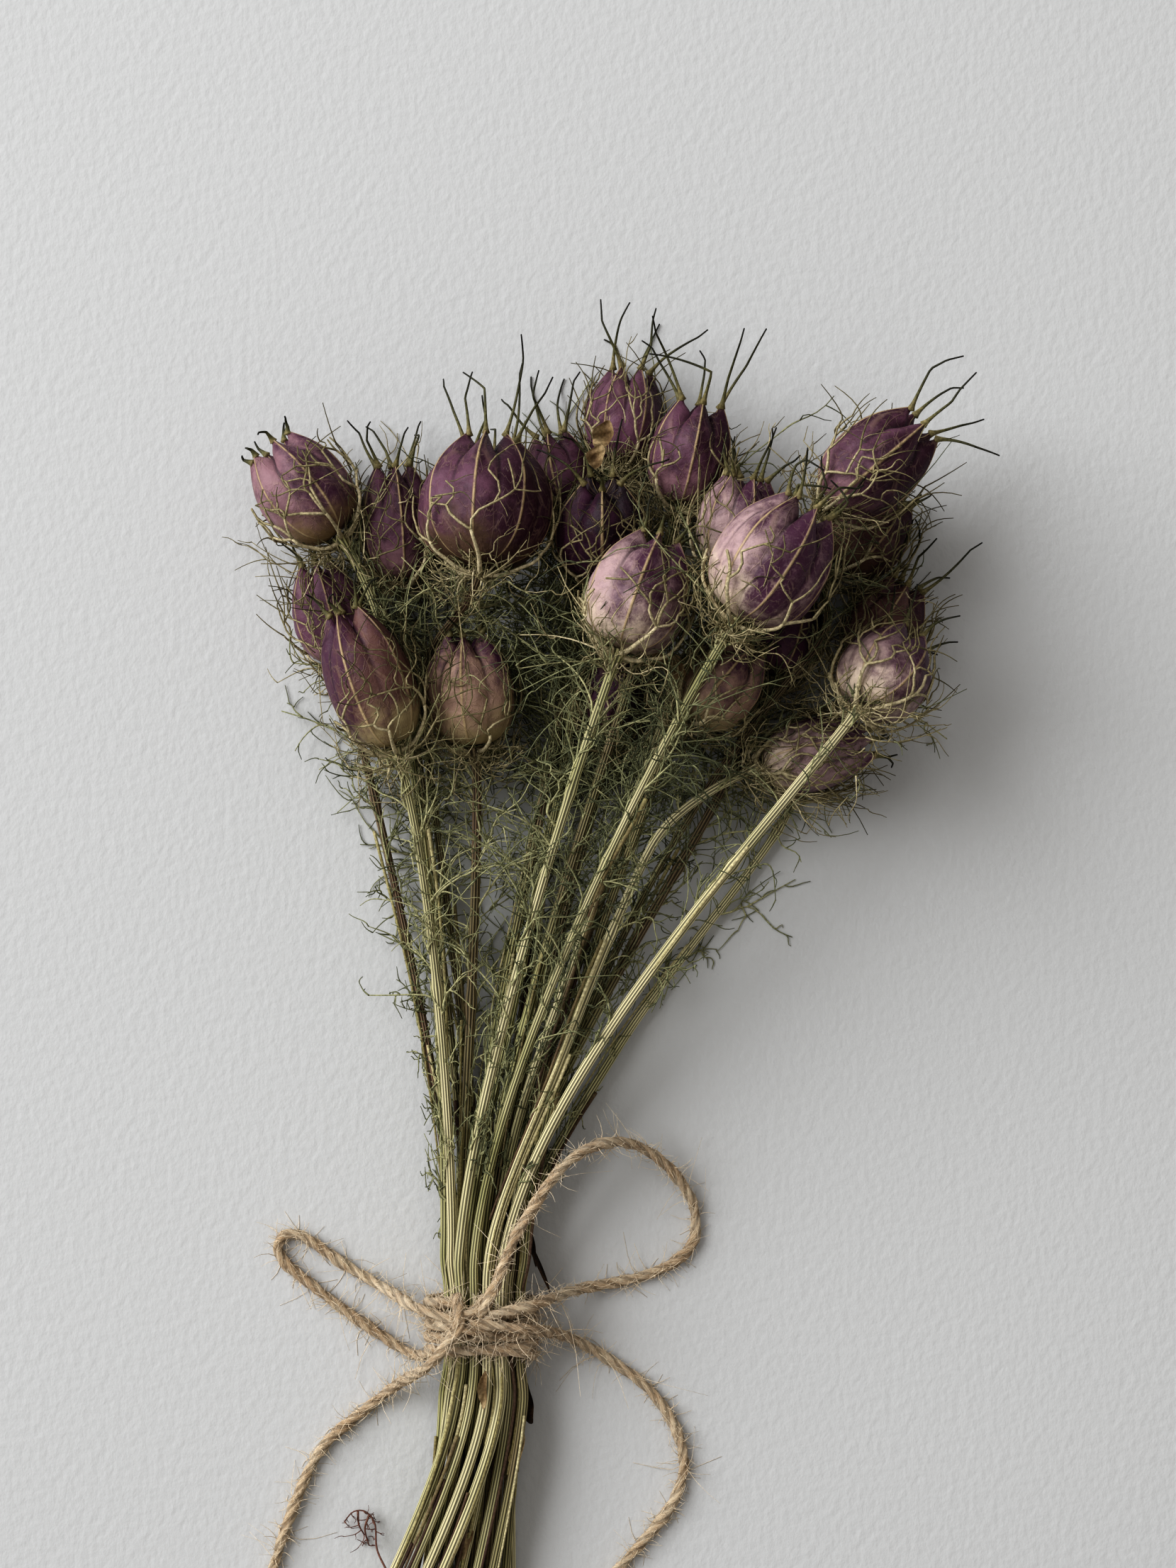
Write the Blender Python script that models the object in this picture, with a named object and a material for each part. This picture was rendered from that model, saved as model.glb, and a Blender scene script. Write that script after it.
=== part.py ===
"""A bunch of dried love-in-a-mist seed pods, tied with jute twine and lying on its side.

Lengths are in millimetres until a mesh is made. +X is to the right of the bunch seen from above,
+Y runs from the cut stem ends towards the pods, +Z is up and the bunch lies on the plane z = 0.
Positions are written in bench coordinates and moved by BENCH_TO_BOX, so that the origin is
under the middle of the bunch.
"""

import math
from typing import NamedTuple

import bmesh
import bpy
import numpy as np

MM = 0.001
SEED = 21
BENCH_TO_BOX = np.array([-5.12, 52.05, 0.0])

# The inflated capsule: one ridge and one groove to each lobe.
BELLY_SHIFT = 0.86
BELLY_POWER = 2.2
RING_HEIGHTS = (0.05, 0.24, 0.5, 0.78, 1.0)
TOP_DIP = 0.10
GROOVE_AT_BASE = 0.09
GROOVE_AT_TIP = 0.34
GROOVE_DROP = 0.11

# Threads: the horns on the pods, the lace round them and the leaves on the stems.
HORN_RADIUS = 0.62
RIB_RADIUS = 0.52
THREAD_RADIUS = 0.45
LEAF_RADIUS = 0.45
LEAVES_A_STEM = 2
THREAD_GAP = 0.42
SPACING_OF_SAMPLES = 0.7
TABLE_GAP = 0.05

# Stems, and the rows that they lie in where the twine holds them.
STEM_RADIUS_LOW = 1.12
STEM_RADIUS_TOP = 0.95
STEM_SIDES = 5
SLICE = 3.0
STEM_END_Y = -203.0
ROW_COUNTS = (5, 6, 6, 4)
ROW_SHIFTS = (0.0, 0.0, 0.5, 0.0)
FOOT_SHIFTS = (-1.0, -7.0, -17.0, -31.0)
FOOT_SPREAD = 1.35
PACK_GAP = 0.5
RECEPTACLE_RADIUS = 1.7
POD_TO_STEM_GAP = 0.35
# Where a stem is seen to bend: points that it passes through, and how much higher or lower in the tie it
# lies than the height of its pod would put it.
GUIDES = {
    "03": ((-34.5, 20.0, 5.0),),
    "19": ((40.0, -10.6, 3.0), (6.4, -56.0, 3.2)),
    "20": ((14.7, -10.4, 20.0), (-6.3, -59.2, 19.0)),
}
TIE_LIFTS = {"03": -25.0, "20": 16.0}
SLACK_AT_TIE = 0.1
SLACK_ELSEWHERE = 0.38

# The tie: four turns of twine round the stems, and a bow.
TWINE = 2.5
TIE = np.array([-22.5, -113.5, 7.9])
TIE_HALF_LENGTH = 6.4
TIE_TURNS = 4
TIE_INNER = (9.8, 5.6)
TIE_POWER = 2.8
TIE_FACETS = 20
KNOT_CENTRE = (-24.5, -111.5, 17.2)
KNOT_HALF = (5.2, 3.4, 2.4)


class Pod(NamedTuple):
    """One seed pod: its middle, its lean, its size, its lobes and how its lace is cut."""

    name: str
    middle: tuple
    heading: float
    tilt: float
    width: float
    length: float
    lobes: int
    roll: float
    shoulder: float
    horn: float
    bracts: int
    finish: str


# heading is degrees from +Y towards +X, tilt is degrees up from the table, roll turns the lobes,
# shoulder is the tip ring's share of the pod's radius, and horn is the mean length of its styles.
PODS = (
    Pod("01", (-59.2, 60.9, 14.4), -38, 0, 19.9, 22.3, 6, 12, 0.50, 4.0, 5, "rose"),
    Pod("02", (-40.2, 54.8, 7.6), -4, 5, 16.7, 23.5, 6, 20, 0.45, 11.0, 4, "dark"),
    Pod("03", (-21.1, 57.1, 25.2), 4, -14, 27.0, 26.6, 8, 8, 0.40, 16.0, 5, "dark"),
    Pod("04", (7.7, 77.3, 6.8), 8, -5, 16.1, 19.4, 6, 0, 0.48, 13.0, 4, "dark"),
    Pod("05", (-5.8, 64.8, 6.6), -12, 0, 14.9, 17.6, 5, 30, 0.42, 12.0, 4, "dark"),
    Pod("06", (2.9, 52.6, 20.2), 0, 30, 19.4, 20.4, 5, 18, 0.40, 10.0, 4, "dark"),
    Pod("07", (21.2, 68.3, 17.3), 12, 5, 17.7, 20.6, 6, 26, 0.55, 16.0, 4, "dark"),
    Pod("08", (30.8, 53.0, 25.0), 10, 5, 17.2, 18.7, 6, 14, 0.50, 10.0, 4, "pale"),
    Pod("09", (36.6, 43.7, 43.8), 33, 0, 23.3, 25.4, 7, 24, 0.42, 11.0, 5, "pale"),
    Pod("10", (58.4, 64.9, 29.6), 50, 8, 18.7, 24.2, 5, 16, 0.45, 15.0, 5, "dark"),
    Pod("11", (59.0, 52.8, 7.6), 38, 0, 17.2, 18.6, 6, 10, 0.42, 6.0, 4, "rose"),
    Pod("12", (10.3, 38.0, 35.6), 20, -10, 21.5, 23.6, 6, 34, 0.38, 7.0, 5, "pale"),
    Pod("13", (-54.9, 36.0, 7.2), -14, 6, 15.8, 20.8, 6, 22, 0.42, 7.0, 4, "rose"),
    Pod("14", (-44.9, 21.4, 22.0), -20, 3, 18.2, 29.0, 5, 40, 0.36, 7.0, 5, "rose"),
    Pod("15", (-24.4, 19.4, 15.0), -4, 8, 18.6, 22.8, 5, 28, 0.38, 7.0, 4, "tan"),
    Pod("16", (5.8, 19.6, 6.7), 8, 0, 14.2, 16.1, 6, 18, 0.42, 5.0, 4, "dark"),
    Pod("17", (27.3, 20.7, 18.0), 40, 5, 17.3, 19.1, 5, 20, 0.38, 5.0, 4, "tan"),
    Pod("18", (60.1, 22.4, 30.8), 38, -32, 18.7, 20.1, 6, 6, 0.45, 11.0, 5, "pale"),
    Pod("19", (62.7, 33.7, 8.1), 30, 10, 15.8, 18.4, 5, 24, 0.45, 13.0, 4, "rose"),
    Pod("20", (47.8, 5.9, 13.0), 78, 0, 15.1, 23.0, 5, 38, 0.40, 5.0, 5, "pale"),
    Pod("21", (41.5, 31.5, 7.4), 15, -5, 16.4, 18.2, 6, 12, 0.42, 6.0, 4, "dark"),
)

# Each stretch of twine that hangs free, as points along its middle, from the knot outwards.
BOW = {
    "twine_loop_right": (
        (-21.0, -107.7, 18.7), (-18.6, -102.4, 19.0), (-15.2, -94.0, 19.8), (-11.0, -87.0, 20.4),
        (-6.5, -80.5, 20.4), (-1.5, -76.5, 18.2), (3.5, -75.0, 14.5), (8.5, -75.5, 10.5),
        (14.0, -78.5, 7.0), (18.5, -83.0, 4.2), (22.0, -88.5, 2.3), (23.0, -93.5, 1.5),
        (22.3, -98.0, 1.35), (19.0, -101.6, 1.35), (13.5, -104.4, 1.35), (6.5, -106.2, 1.5),
        (0.2, -107.0, 3.4), (-4.4, -107.3, 7.8), (-7.8, -107.7, 12.8), (-11.6, -108.4, 17.0),
        (-16.9, -109.3, 18.9),
    ),
    "twine_loop_left": (
        (-30.3, -110.5, 18.2), (-34.2, -109.6, 16.5), (-37.5, -108.9, 12.6), (-40.0, -108.2, 8.0),
        (-42.6, -107.4, 4.5), (-45.4, -106.2, 2.3), (-49.2, -104.2, 1.4), (-53.5, -101.5, 1.35),
        (-57.6, -98.6, 1.35), (-61.3, -96.3, 1.35), (-64.6, -96.2, 1.35), (-66.2, -99.0, 1.35),
        (-64.4, -102.4, 1.35), (-59.6, -106.4, 1.35), (-54.0, -110.8, 1.35), (-48.7, -114.6, 1.35),
        (-43.6, -118.0, 1.35), (-39.8, -120.4, 1.6), (-37.0, -122.0, 2.6),
    ),
    "twine_tail_left": (
        (-28.9, -115.6, 18.3), (-31.2, -118.8, 17.6), (-33.9, -121.8, 15.2), (-36.6, -124.2, 10.8),
        (-39.4, -126.6, 5.6), (-42.9, -129.6, 2.2), (-47.0, -133.0, 1.35), (-51.5, -136.6, 1.35),
        (-55.5, -140.2, 1.35), (-58.6, -144.6, 1.35), (-61.0, -149.6, 1.35), (-63.1, -155.0, 1.35),
        (-65.0, -160.3, 1.35), (-66.6, -165.5, 1.35), (-68.0, -170.6, 1.35), (-69.0, -175.5, 1.35),
    ),
    "twine_tail_right": (
        (-17.5, -112.5, 18.5), (-14.3, -113.0, 18.0), (-11.3, -113.7, 15.9), (-8.5, -114.8, 12.3),
        (-5.9, -116.1, 8.2), (-3.1, -117.9, 4.6), (0.0, -119.9, 2.2), (3.2, -122.0, 1.4),
        (6.7, -124.3, 1.35), (10.8, -127.2, 1.35), (14.6, -131.0, 1.35), (17.8, -135.8, 1.35),
        (19.9, -141.0, 1.35), (20.4, -146.2, 1.35), (19.0, -151.5, 1.35), (16.1, -156.4, 1.35),
        (12.6, -160.6, 1.35), (9.0, -164.7, 1.35), (5.4, -169.0, 1.35), (1.8, -173.5, 1.35),
    ),
}

FINISHES = {
    "dark": ((0.16, 0.05, 0.12), 0.55),
    "rose": ((0.30, 0.12, 0.18), 0.6),
    "pale": ((0.52, 0.32, 0.36), 0.6),
    "tan": ((0.42, 0.28, 0.16), 0.65),
    "stem": ((0.42, 0.43, 0.20), 0.8),
    "twine": ((0.60, 0.43, 0.25), 0.95),
}


def unit(vector):
    return vector / np.linalg.norm(vector, axis=-1, keepdims=True)


def smooth_step(t):
    t = np.clip(t, 0.0, 1.0)
    return t * t * (3.0 - 2.0 * t)


# The shape of a pod

def pod_axes(pod):
    """The pod's own directions: to its right, up from its back, and from its base to its tip."""
    heading, tilt = math.radians(pod.heading), math.radians(pod.tilt)
    right = np.array([math.cos(heading), -math.sin(heading), 0.0])
    along = np.array([math.sin(heading) * math.cos(tilt), math.cos(heading) * math.cos(tilt), math.sin(tilt)])
    return right, np.cross(right, along), along


def pod_base(pod):
    return np.array(pod.middle) - pod_axes(pod)[2] * pod.length / 2


def tip_share(pod):
    """How far up the full closed outline the pod stops, so that it ends in shoulders of the wanted width."""
    flat = (1.0 - pod.shoulder ** 2) ** (1.0 / BELLY_POWER)
    return ((1.0 + flat) / 2.0) ** (1.0 / BELLY_SHIFT)


def pod_points(pod, height, angle, groove):
    """Points of the pod's skin. height runs from 0 at the base to 1 at the tip ring, angle goes round the
    axis, and groove is 0 on a lobe's ridge and 1 between two lobes."""
    right, up, along = pod_axes(pod)
    share = height * tip_share(pod)
    belly = np.sqrt(np.clip(1.0 - np.abs(2.0 * share ** BELLY_SHIFT - 1.0) ** BELLY_POWER, 0.0, 1.0))
    depth = GROOVE_AT_BASE + (GROOVE_AT_TIP - GROOVE_AT_BASE) * height ** 3
    radius = pod.width / 2 * belly * (1.0 - depth * groove)
    drop = GROOVE_DROP * smooth_step((height - 0.72) / 0.28) * groove
    rise = pod.length * (height - drop)
    ring = right * np.cos(angle)[..., None] + up * np.sin(angle)[..., None]
    return pod_base(pod) + along * rise[..., None] + ring * radius[..., None]


def ridge_angles(pod):
    return np.radians(pod.roll) + np.arange(pod.lobes) * 2.0 * math.pi / pod.lobes


def outside_pod(pod, points):
    """About how far points lie outside the pod, in millimetres, from the ellipsoid that holds it."""
    _, _, along = pod_axes(pod)
    offset = points - np.array(pod.middle)
    rise = offset @ along
    out = np.linalg.norm(offset - rise[..., None] * along, axis=-1)
    half_width, half_length = pod.width / 2 * 1.03, pod.length / 2 * 1.03
    stretch = np.sqrt((out / half_width) ** 2 + (rise / half_length) ** 2)
    return (stretch - 1.0) * min(half_width, half_length)


def above_skin(pod, height, angle, lift):
    """A point that stands lift above the pod's skin, at a height share and an angle round its axis."""
    right, up, along = pod_axes(pod)
    ridges = ridge_angles(pod)
    away = np.abs((angle - ridges + math.pi) % (2 * math.pi) - math.pi).min()
    groove = away / (math.pi / pod.lobes)
    skin = pod_points(pod, np.array(height), np.array(angle), np.array(groove))
    ring = right * math.cos(angle) + up * math.sin(angle)
    out = (skin - np.array(pod.middle)) @ ring
    rise = (skin - np.array(pod.middle)) @ along
    normal = unit(ring * out / (pod.width / 2) ** 2 + along * rise / (pod.length / 2) ** 2)
    return skin + normal * lift


# The stems' paths, worked out in slices square to Y

def tie_slots():
    """The stems' places in the tie, row by row from the table up, each row from left to right."""
    pitch = 2 * STEM_RADIUS_LOW + PACK_GAP
    slots = []
    for row, count in enumerate(ROW_COUNTS):
        rise = (row - (len(ROW_COUNTS) - 1) / 2) * pitch * math.sin(math.pi / 3)
        for place in range(count):
            slots.append((TIE[0] + (place - (count - 1) / 2 + ROW_SHIFTS[row]) * pitch, TIE[2] + rise, row))
    return slots


def assign_slots():
    """Gives the lowest pods the lowest row, and sorts each row by the pods' bearing from the tie."""
    low_to_high = sorted(range(len(PODS)), key=lambda i: pod_base(PODS[i])[2] + TIE_LIFTS.get(PODS[i].name, 0.0))
    slots, chosen, first = tie_slots(), {}, 0
    for count in ROW_COUNTS:
        row = low_to_high[first:first + count]
        bases = {i: pod_base(PODS[i]) - TIE for i in row}
        row.sort(key=lambda i: math.atan2(bases[i][0], bases[i][1]))
        for place, i in enumerate(row):
            chosen[i] = slots[first + place]
        first += count
    return chosen


def hermite(start, start_pull, end, end_pull, count):
    """Points along the curve that leaves start along start_pull and reaches end along end_pull."""
    t = np.linspace(0.0, 1.0, count)[:, None]
    return (
        (2 * t ** 3 - 3 * t ** 2 + 1) * start + (t ** 3 - 2 * t ** 2 + t) * start_pull
        + (3 * t ** 2 - 2 * t ** 3) * end + (t ** 3 - t ** 2) * end_pull
    )


def guided(start, way, guides, end):
    """Curves from start, which is left along way, past each guide to end, which is reached along -Y.
    A guide is passed in the direction from the point before it to the point after it."""
    stops = [start, *(np.array(guide) for guide in guides), end]
    ways = [way, *(unit(stops[k + 1] - stops[k - 1]) for k in range(1, len(stops) - 1)), np.array([0.0, -1.0, 0.0])]
    curves = []
    for k in range(len(stops) - 1):
        run = np.linalg.norm(stops[k + 1] - stops[k])
        curves.append(hermite(stops[k], ways[k] * run * 0.55, stops[k + 1], ways[k + 1] * run * 0.75, 120))
    return np.concatenate(curves)


def stem_radius(y):
    """Stems are thickest at their cut ends and thinnest under the pods."""
    return STEM_RADIUS_LOW - (STEM_RADIUS_LOW - STEM_RADIUS_TOP) * smooth_step((y - TIE[1] - 12.0) / 90.0)


def first_paths(levels):
    """Each stem as smooth curves from pod to tie to cut end, read where it crosses the levels."""
    chosen = assign_slots()
    across = np.full((len(PODS), len(levels), 2), np.nan)
    for i, pod in enumerate(PODS):
        slot_x, slot_z, row = chosen[i]
        base = pod_base(pod) - pod_axes(pod)[2] * (POD_TO_STEM_GAP + 0.6)
        top_of_tie = np.array([slot_x, TIE[1] + TIE_HALF_LENGTH + 3.0, slot_z])
        foot_of_tie = np.array([slot_x, TIE[1] - TIE_HALF_LENGTH - 3.0, slot_z])
        upper = guided(base, -pod_axes(pod)[2], GUIDES.get(pod.name, ()), top_of_tie)
        foot_x = TIE[0] + FOOT_SPREAD * (slot_x - TIE[0]) + FOOT_SHIFTS[row]
        foot = np.array([foot_x, STEM_END_Y - 3.0, 1.4 + 2.3 * row])
        fall = np.linalg.norm(foot - foot_of_tie)
        lower = hermite(foot_of_tie, np.array([0.0, -fall * 0.7, 0.0]), foot, (foot - foot_of_tie) * 0.9, 60)
        path = np.concatenate([upper, lower])
        path[:, 1] = np.minimum.accumulate(path[:, 1] - np.arange(len(path)) * 1e-6)
        for axis, column in ((0, 0), (2, 1)):
            across[i, :, column] = np.interp(-levels, -path[:, 1], path[:, axis])
        across[i, levels > base[1] - 1.0] = np.nan
    return across


def push_from_pods(across, levels, radii):
    """Moves each stem's points sideways and up or down, out of the pods that it passes."""
    for pod in PODS:
        along = pod_axes(pod)[2]
        half = max(pod.length - pod.width, 0.0) / 2
        spots = np.stack([across[..., 0], np.broadcast_to(levels, across.shape[:2]), across[..., 1]], axis=-1)
        offset = spots - np.array(pod.middle)
        rise = np.clip(offset @ along, -half, half)
        away = offset - rise[..., None] * along
        distance = np.linalg.norm(away, axis=-1)
        short = np.nan_to_num(pod.width / 2 + radii + 1.1 - distance, nan=0.0)
        flat = away[..., [0, 2]]
        flat = flat / np.maximum(np.linalg.norm(flat, axis=-1, keepdims=True), 1e-6)
        step = np.where(short > 0, short, 0.0)[..., None] * np.nan_to_num(flat)
        step[PODS.index(pod)] = 0.0
        across += step * 0.5


def push_apart(across, radii, room, share):
    """Moves stems apart wherever two come nearer than their radii and the room between them."""
    count = len(across)
    slope = np.zeros(across.shape[:2])
    slope[:, 1:-1] = np.abs(across[:, 2:, 0] - across[:, :-2, 0]) / (2 * SLICE)
    wide = radii * np.sqrt(1.0 + np.clip(np.nan_to_num(slope), 0.0, 1.2) ** 2)
    for i in range(count):
        gap = across[i] - across
        distance = np.linalg.norm(gap, axis=-1)
        short = np.nan_to_num(wide[i] + wide + room - distance, nan=0.0)
        short[i] = 0.0
        short = np.where(short > 0, short, 0.0)
        step = np.nan_to_num(gap / np.maximum(distance, 1e-6)[..., None]) * short[..., None] * share
        across[i] += step.sum(axis=0)


def stem_paths():
    """The stems' middle lines, bent clear of each other, of the pods and of the table.
    What is smoothed is each stem's shift from its first path, so that its curve is kept."""
    top = max(pod_base(pod)[1] for pod in PODS)
    levels = np.arange(math.floor(top), STEM_END_Y - 4.0, -SLICE)
    first = first_paths(levels)
    across = first.copy()
    radii = np.broadcast_to(stem_radius(levels), across.shape[:2])
    held = np.abs(levels - TIE[1]) <= TIE_HALF_LENGTH + 2.5
    room = np.where(np.abs(levels - TIE[1]) < 12.0, PACK_GAP, 0.9)
    known = ~np.isnan(first[..., 0])
    start = known.argmax(axis=1)
    for turn in range(260):
        shift = np.nan_to_num(across - first)
        if turn < 240:
            shift[:, 1:-1] += 0.25 * (shift[:, 2:] + shift[:, :-2] - 2 * shift[:, 1:-1])
        for i, k in enumerate(start):
            shift[i, k:k + 2] = 0.0
        shift[:, -1] = shift[:, -2]
        across = np.where(known[..., None], first + shift, np.nan)
        push_apart(across, radii, room, 0.4)
        push_from_pods(across, levels, radii)
        floor = radii + TABLE_GAP + 0.1
        across[..., 1] = np.where(across[..., 1] < floor, floor, across[..., 1])
        across[:, held] = first[:, held]
    return levels, across


def thin_out(points, slack):
    """Only as many of the points as keep the straight runs between them within slack of the rest."""
    keep, todo = {0, len(points) - 1}, [(0, len(points) - 1)]
    while todo:
        a, b = todo.pop()
        if b - a < 2:
            continue
        chord, rest = points[b] - points[a], points[a + 1:b] - points[a]
        share = np.clip(rest @ chord / (chord @ chord), 0.0, 1.0)
        off = np.linalg.norm(rest - share[:, None] * chord, axis=1) / slack[a + 1:b]
        worst = int(off.argmax())
        if off[worst] > 1.0:
            keep.add(a + 1 + worst)
            todo += [(a, a + 1 + worst), (a + 1 + worst, b)]
    return points[sorted(keep)]


def whole_stems():
    """Each stem from just under its pod to its cut end, as points in millimetres."""
    levels, across = stem_paths()
    ends = np.random.default_rng(SEED).uniform(0.0, 8.0, len(PODS))
    stems = []
    for i, pod in enumerate(PODS):
        known = ~np.isnan(across[i, :, 0]) & (levels > STEM_END_Y - 4.0 + ends[i])
        spots = np.stack([across[i, known, 0], levels[known], across[i, known, 1]], axis=1)
        under = pod_base(pod) - pod_axes(pod)[2] * POD_TO_STEM_GAP
        stems.append(np.concatenate([[under], spots]))
    return stems


# Threads that keep clear of everything else

class Room:
    """What is already placed, as balls along every stem, thread and stretch of twine, and the pods."""

    def __init__(self):
        self.points = np.zeros((0, 3))
        self.radii = np.zeros(0)
        self.owners = np.zeros(0, int)

    def add(self, points, radii, owner):
        self.points = np.concatenate([self.points, points])
        self.radii = np.concatenate([self.radii, np.broadcast_to(radii, len(points))])
        self.owners = np.concatenate([self.owners, np.full(len(points), owner)])

    def clear_count(self, points, radius, owner, own_pod):
        """How many of the points, from the first on, are clear of everything that isn't the owner's."""
        bad = points[:, 2] < radius + TABLE_GAP
        for pod in PODS:
            need = radius + (0.0 if pod is own_pod else THREAD_GAP)
            bad |= outside_pod(pod, points) < need if pod is not own_pod else False
        others = self.owners != owner
        low, high = points.min(0) - 4.0, points.max(0) + 4.0
        near = others & (self.points > low).all(1) & (self.points < high).all(1)
        if near.any():
            distance = np.linalg.norm(points[:, None] - self.points[near][None], axis=-1)
            bad |= (distance < radius + self.radii[near] + THREAD_GAP).any(axis=1)
        mine = (self.owners == owner) & (self.points > low).all(1) & (self.points < high).all(1)
        if mine.any():
            distance = np.linalg.norm(points[:, None] - self.points[mine][None], axis=-1)
            crossing = (distance < radius + self.radii[mine] + 0.1).any(axis=1)
            crossing[np.linalg.norm(points - points[0], axis=1) < 2.6] = False
            bad |= crossing
        return int(bad.argmax()) if bad.any() else len(points)


def sampled(points, step=SPACING_OF_SAMPLES):
    """Points along a line of straight runs, about step apart."""
    lengths = np.concatenate([[0.0], np.cumsum(np.linalg.norm(np.diff(points, axis=0), axis=1))])
    at = np.linspace(0.0, lengths[-1], max(2, math.ceil(lengths[-1] / step) + 1))
    return np.stack([np.interp(at, lengths, points[:, k]) for k in range(3)], axis=1)


def cut_to(points, share):
    """The first part of a line of straight runs, up to a share of its length."""
    lengths = np.concatenate([[0.0], np.cumsum(np.linalg.norm(np.diff(points, axis=0), axis=1))])
    end = lengths[-1] * share
    kept = points[lengths < end - 0.4]
    last = np.array([np.interp(end, lengths, points[:, k]) for k in range(3)])
    return np.concatenate([kept, [last]])


def place_thread(room, points, radius, owner, own_pod, shortest):
    """The thread as far as it is clear, or None where too little of it is."""
    points = np.array(points)
    spots = sampled(points)
    clear = room.clear_count(spots, radius, owner, own_pod)
    if clear < len(spots):
        share = (clear - 1) / (len(spots) - 1)
        length = np.linalg.norm(np.diff(points, axis=0), axis=1).sum()
        if clear < 3 or length * share < shortest:
            return None
        points = cut_to(points, share)
        spots = spots[:clear]
    room.add(spots, radius, owner)
    return points


def horns_of(pod, rng):
    """The styles that stand on the tips of the lobes, one to a lobe, curving up and out."""
    _, _, along = pod_axes(pod)
    horns = []
    for angle in ridge_angles(pod):
        root = pod_points(pod, np.array(0.93), np.array(angle), np.array(0.0))
        middle = np.array(pod.middle) + along * ((root - np.array(pod.middle)) @ along)
        outward = unit(root - middle)
        root = root - outward * 0.9
        lean = unit(along + outward * rng.uniform(0.15, 0.55) + rng.normal(0.0, 0.14, 3))
        bend = (outward * rng.uniform(-0.25, 0.5) + rng.normal(0.0, 0.22, 3)) * 0.6
        length = pod.horn * rng.uniform(0.75, 1.2)
        horns.append([root + length * (lean * t + bend * t * t) for t in (0.0, 0.5, 1.0)])
    return horns


def lace_of(pod, rng):
    """The feathery bracts: for each a rib that hugs the pod, forks that cross its sides, and a free wisp."""
    right, up, along = pod_axes(pod)
    start = pod_base(pod) - along * 1.5
    lift = 0.75 + 0.10 * pod.width / 2
    turn = rng.uniform(0.0, 2.0 * math.pi)
    ribs = []
    for bract in range(pod.bracts):
        angle = turn + 2.0 * math.pi * bract / pod.bracts + rng.uniform(-0.15, 0.15)
        drift = rng.uniform(-0.35, 0.35)
        low = above_skin(pod, 0.08, angle, lift + 0.5)
        middle = above_skin(pod, 0.27, angle + drift * 0.4, lift + 0.6)
        high = above_skin(pod, 0.54 + rng.uniform(-0.04, 0.06), angle + drift, lift + 1.0)
        branches = []
        for side, root in ((-1.0, low * 0.3 + middle * 0.7), (1.0, middle * 0.75 + high * 0.25)):
            reach = rng.uniform(0.45, 0.7)
            tip = above_skin(pod, 0.56 + rng.uniform(-0.07, 0.07), angle + side * reach, lift + 1.2 + 0.1 * pod.width)
            branches.append([root, tip])
        ring = right * math.cos(angle + 0.4) + up * math.sin(angle + 0.4)
        out = unit(ring - along * rng.uniform(-0.1, 0.7))
        root = start * 0.35 + low * 0.65
        branches.append([root, root + out * rng.uniform(6.0, 9.0)])
        hidden = (right * math.cos(angle) + up * math.sin(angle))[2] < -0.35
        count = 1 if hidden else 3 - bract % 2
        ribs.append(([start, low, middle, high], branches[:count]))
    return ribs


def leaves_of(stem, rng):
    """Thread leaves to try along the middle of a stem: a bent thread with one side thread."""
    leaves = []
    top, foot = stem[0][1] - 16.0, TIE[1] + 24.0
    if top <= foot:
        return leaves
    for share in (0.15, 0.4, 0.65, 0.85):
        y = foot + (top - foot) * (share + rng.uniform(-0.1, 0.1))
        k = int(np.abs(stem[:, 1] - y).argmin())
        k = min(max(k, 1), len(stem) - 2)
        climb = unit(stem[k - 1] - stem[k + 1])
        side = unit(np.cross(climb, unit(rng.normal(0.0, 1.0, 3))))
        length = rng.uniform(12.0, 19.0)
        root = stem[k]
        knee = root + unit(climb * 0.7 + side) * length * 0.5
        tip = knee + unit(climb + side * rng.uniform(0.0, 0.8)) * length * 0.5
        across = unit(np.cross(side, climb)) * rng.choice([-1.0, 1.0])
        spread = unit(climb * 0.8 + side * 0.5 + across * 0.9)
        leaves.append(([root, knee, tip], [knee - (knee - root) * 0.25, knee + spread * length * 0.4]))
    return leaves


# Turning points into solids

def link(name, mesh_data, finish):
    obj = bpy.data.objects.new(name, mesh_data)
    bpy.context.scene.collection.objects.link(obj)
    obj.data.materials.append(material(finish))
    return obj


def material(finish):
    made = bpy.data.materials.get(finish)
    if made is None:
        colour, roughness = FINISHES[finish]
        made = bpy.data.materials.new(finish)
        made.use_nodes = True
        shader = made.node_tree.nodes["Principled BSDF"]
        shader.inputs["Base Color"].default_value = (*colour, 1.0)
        shader.inputs["Roughness"].default_value = roughness
        shader.inputs["Metallic"].default_value = 0.0
    return made


def solid(name, points, faces, finish):
    """A closed mesh from points in millimetres and faces, turned to point outwards."""
    data = bpy.data.meshes.new(name)
    data.from_pydata([tuple((p + BENCH_TO_BOX) * MM) for p in np.asarray(points)], [], faces)
    shaped = bmesh.new()
    shaped.from_mesh(data)
    bmesh.ops.recalc_face_normals(shaped, faces=shaped.faces)
    shaped.to_mesh(data)
    shaped.free()
    return link(name, data, finish)


def rings_along(path, radii, sides):
    """Rings of points round a path, each square to it and not twisting from one to the next."""
    tangents = np.gradient(path, axis=0)
    tangents = unit(tangents)
    side = unit(np.cross(tangents[0], [0.31, 0.17, 0.94]))
    angles = np.arange(sides) * 2 * math.pi / sides
    rings = []
    for centre, tangent, radius in zip(path, tangents, radii):
        side = unit(side - (side @ tangent) * tangent)
        other = np.cross(tangent, side)
        ring = side * np.cos(angles)[:, None] + other * np.sin(angles)[:, None]
        rings.append(centre + ring * radius)
    return np.array(rings)


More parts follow.
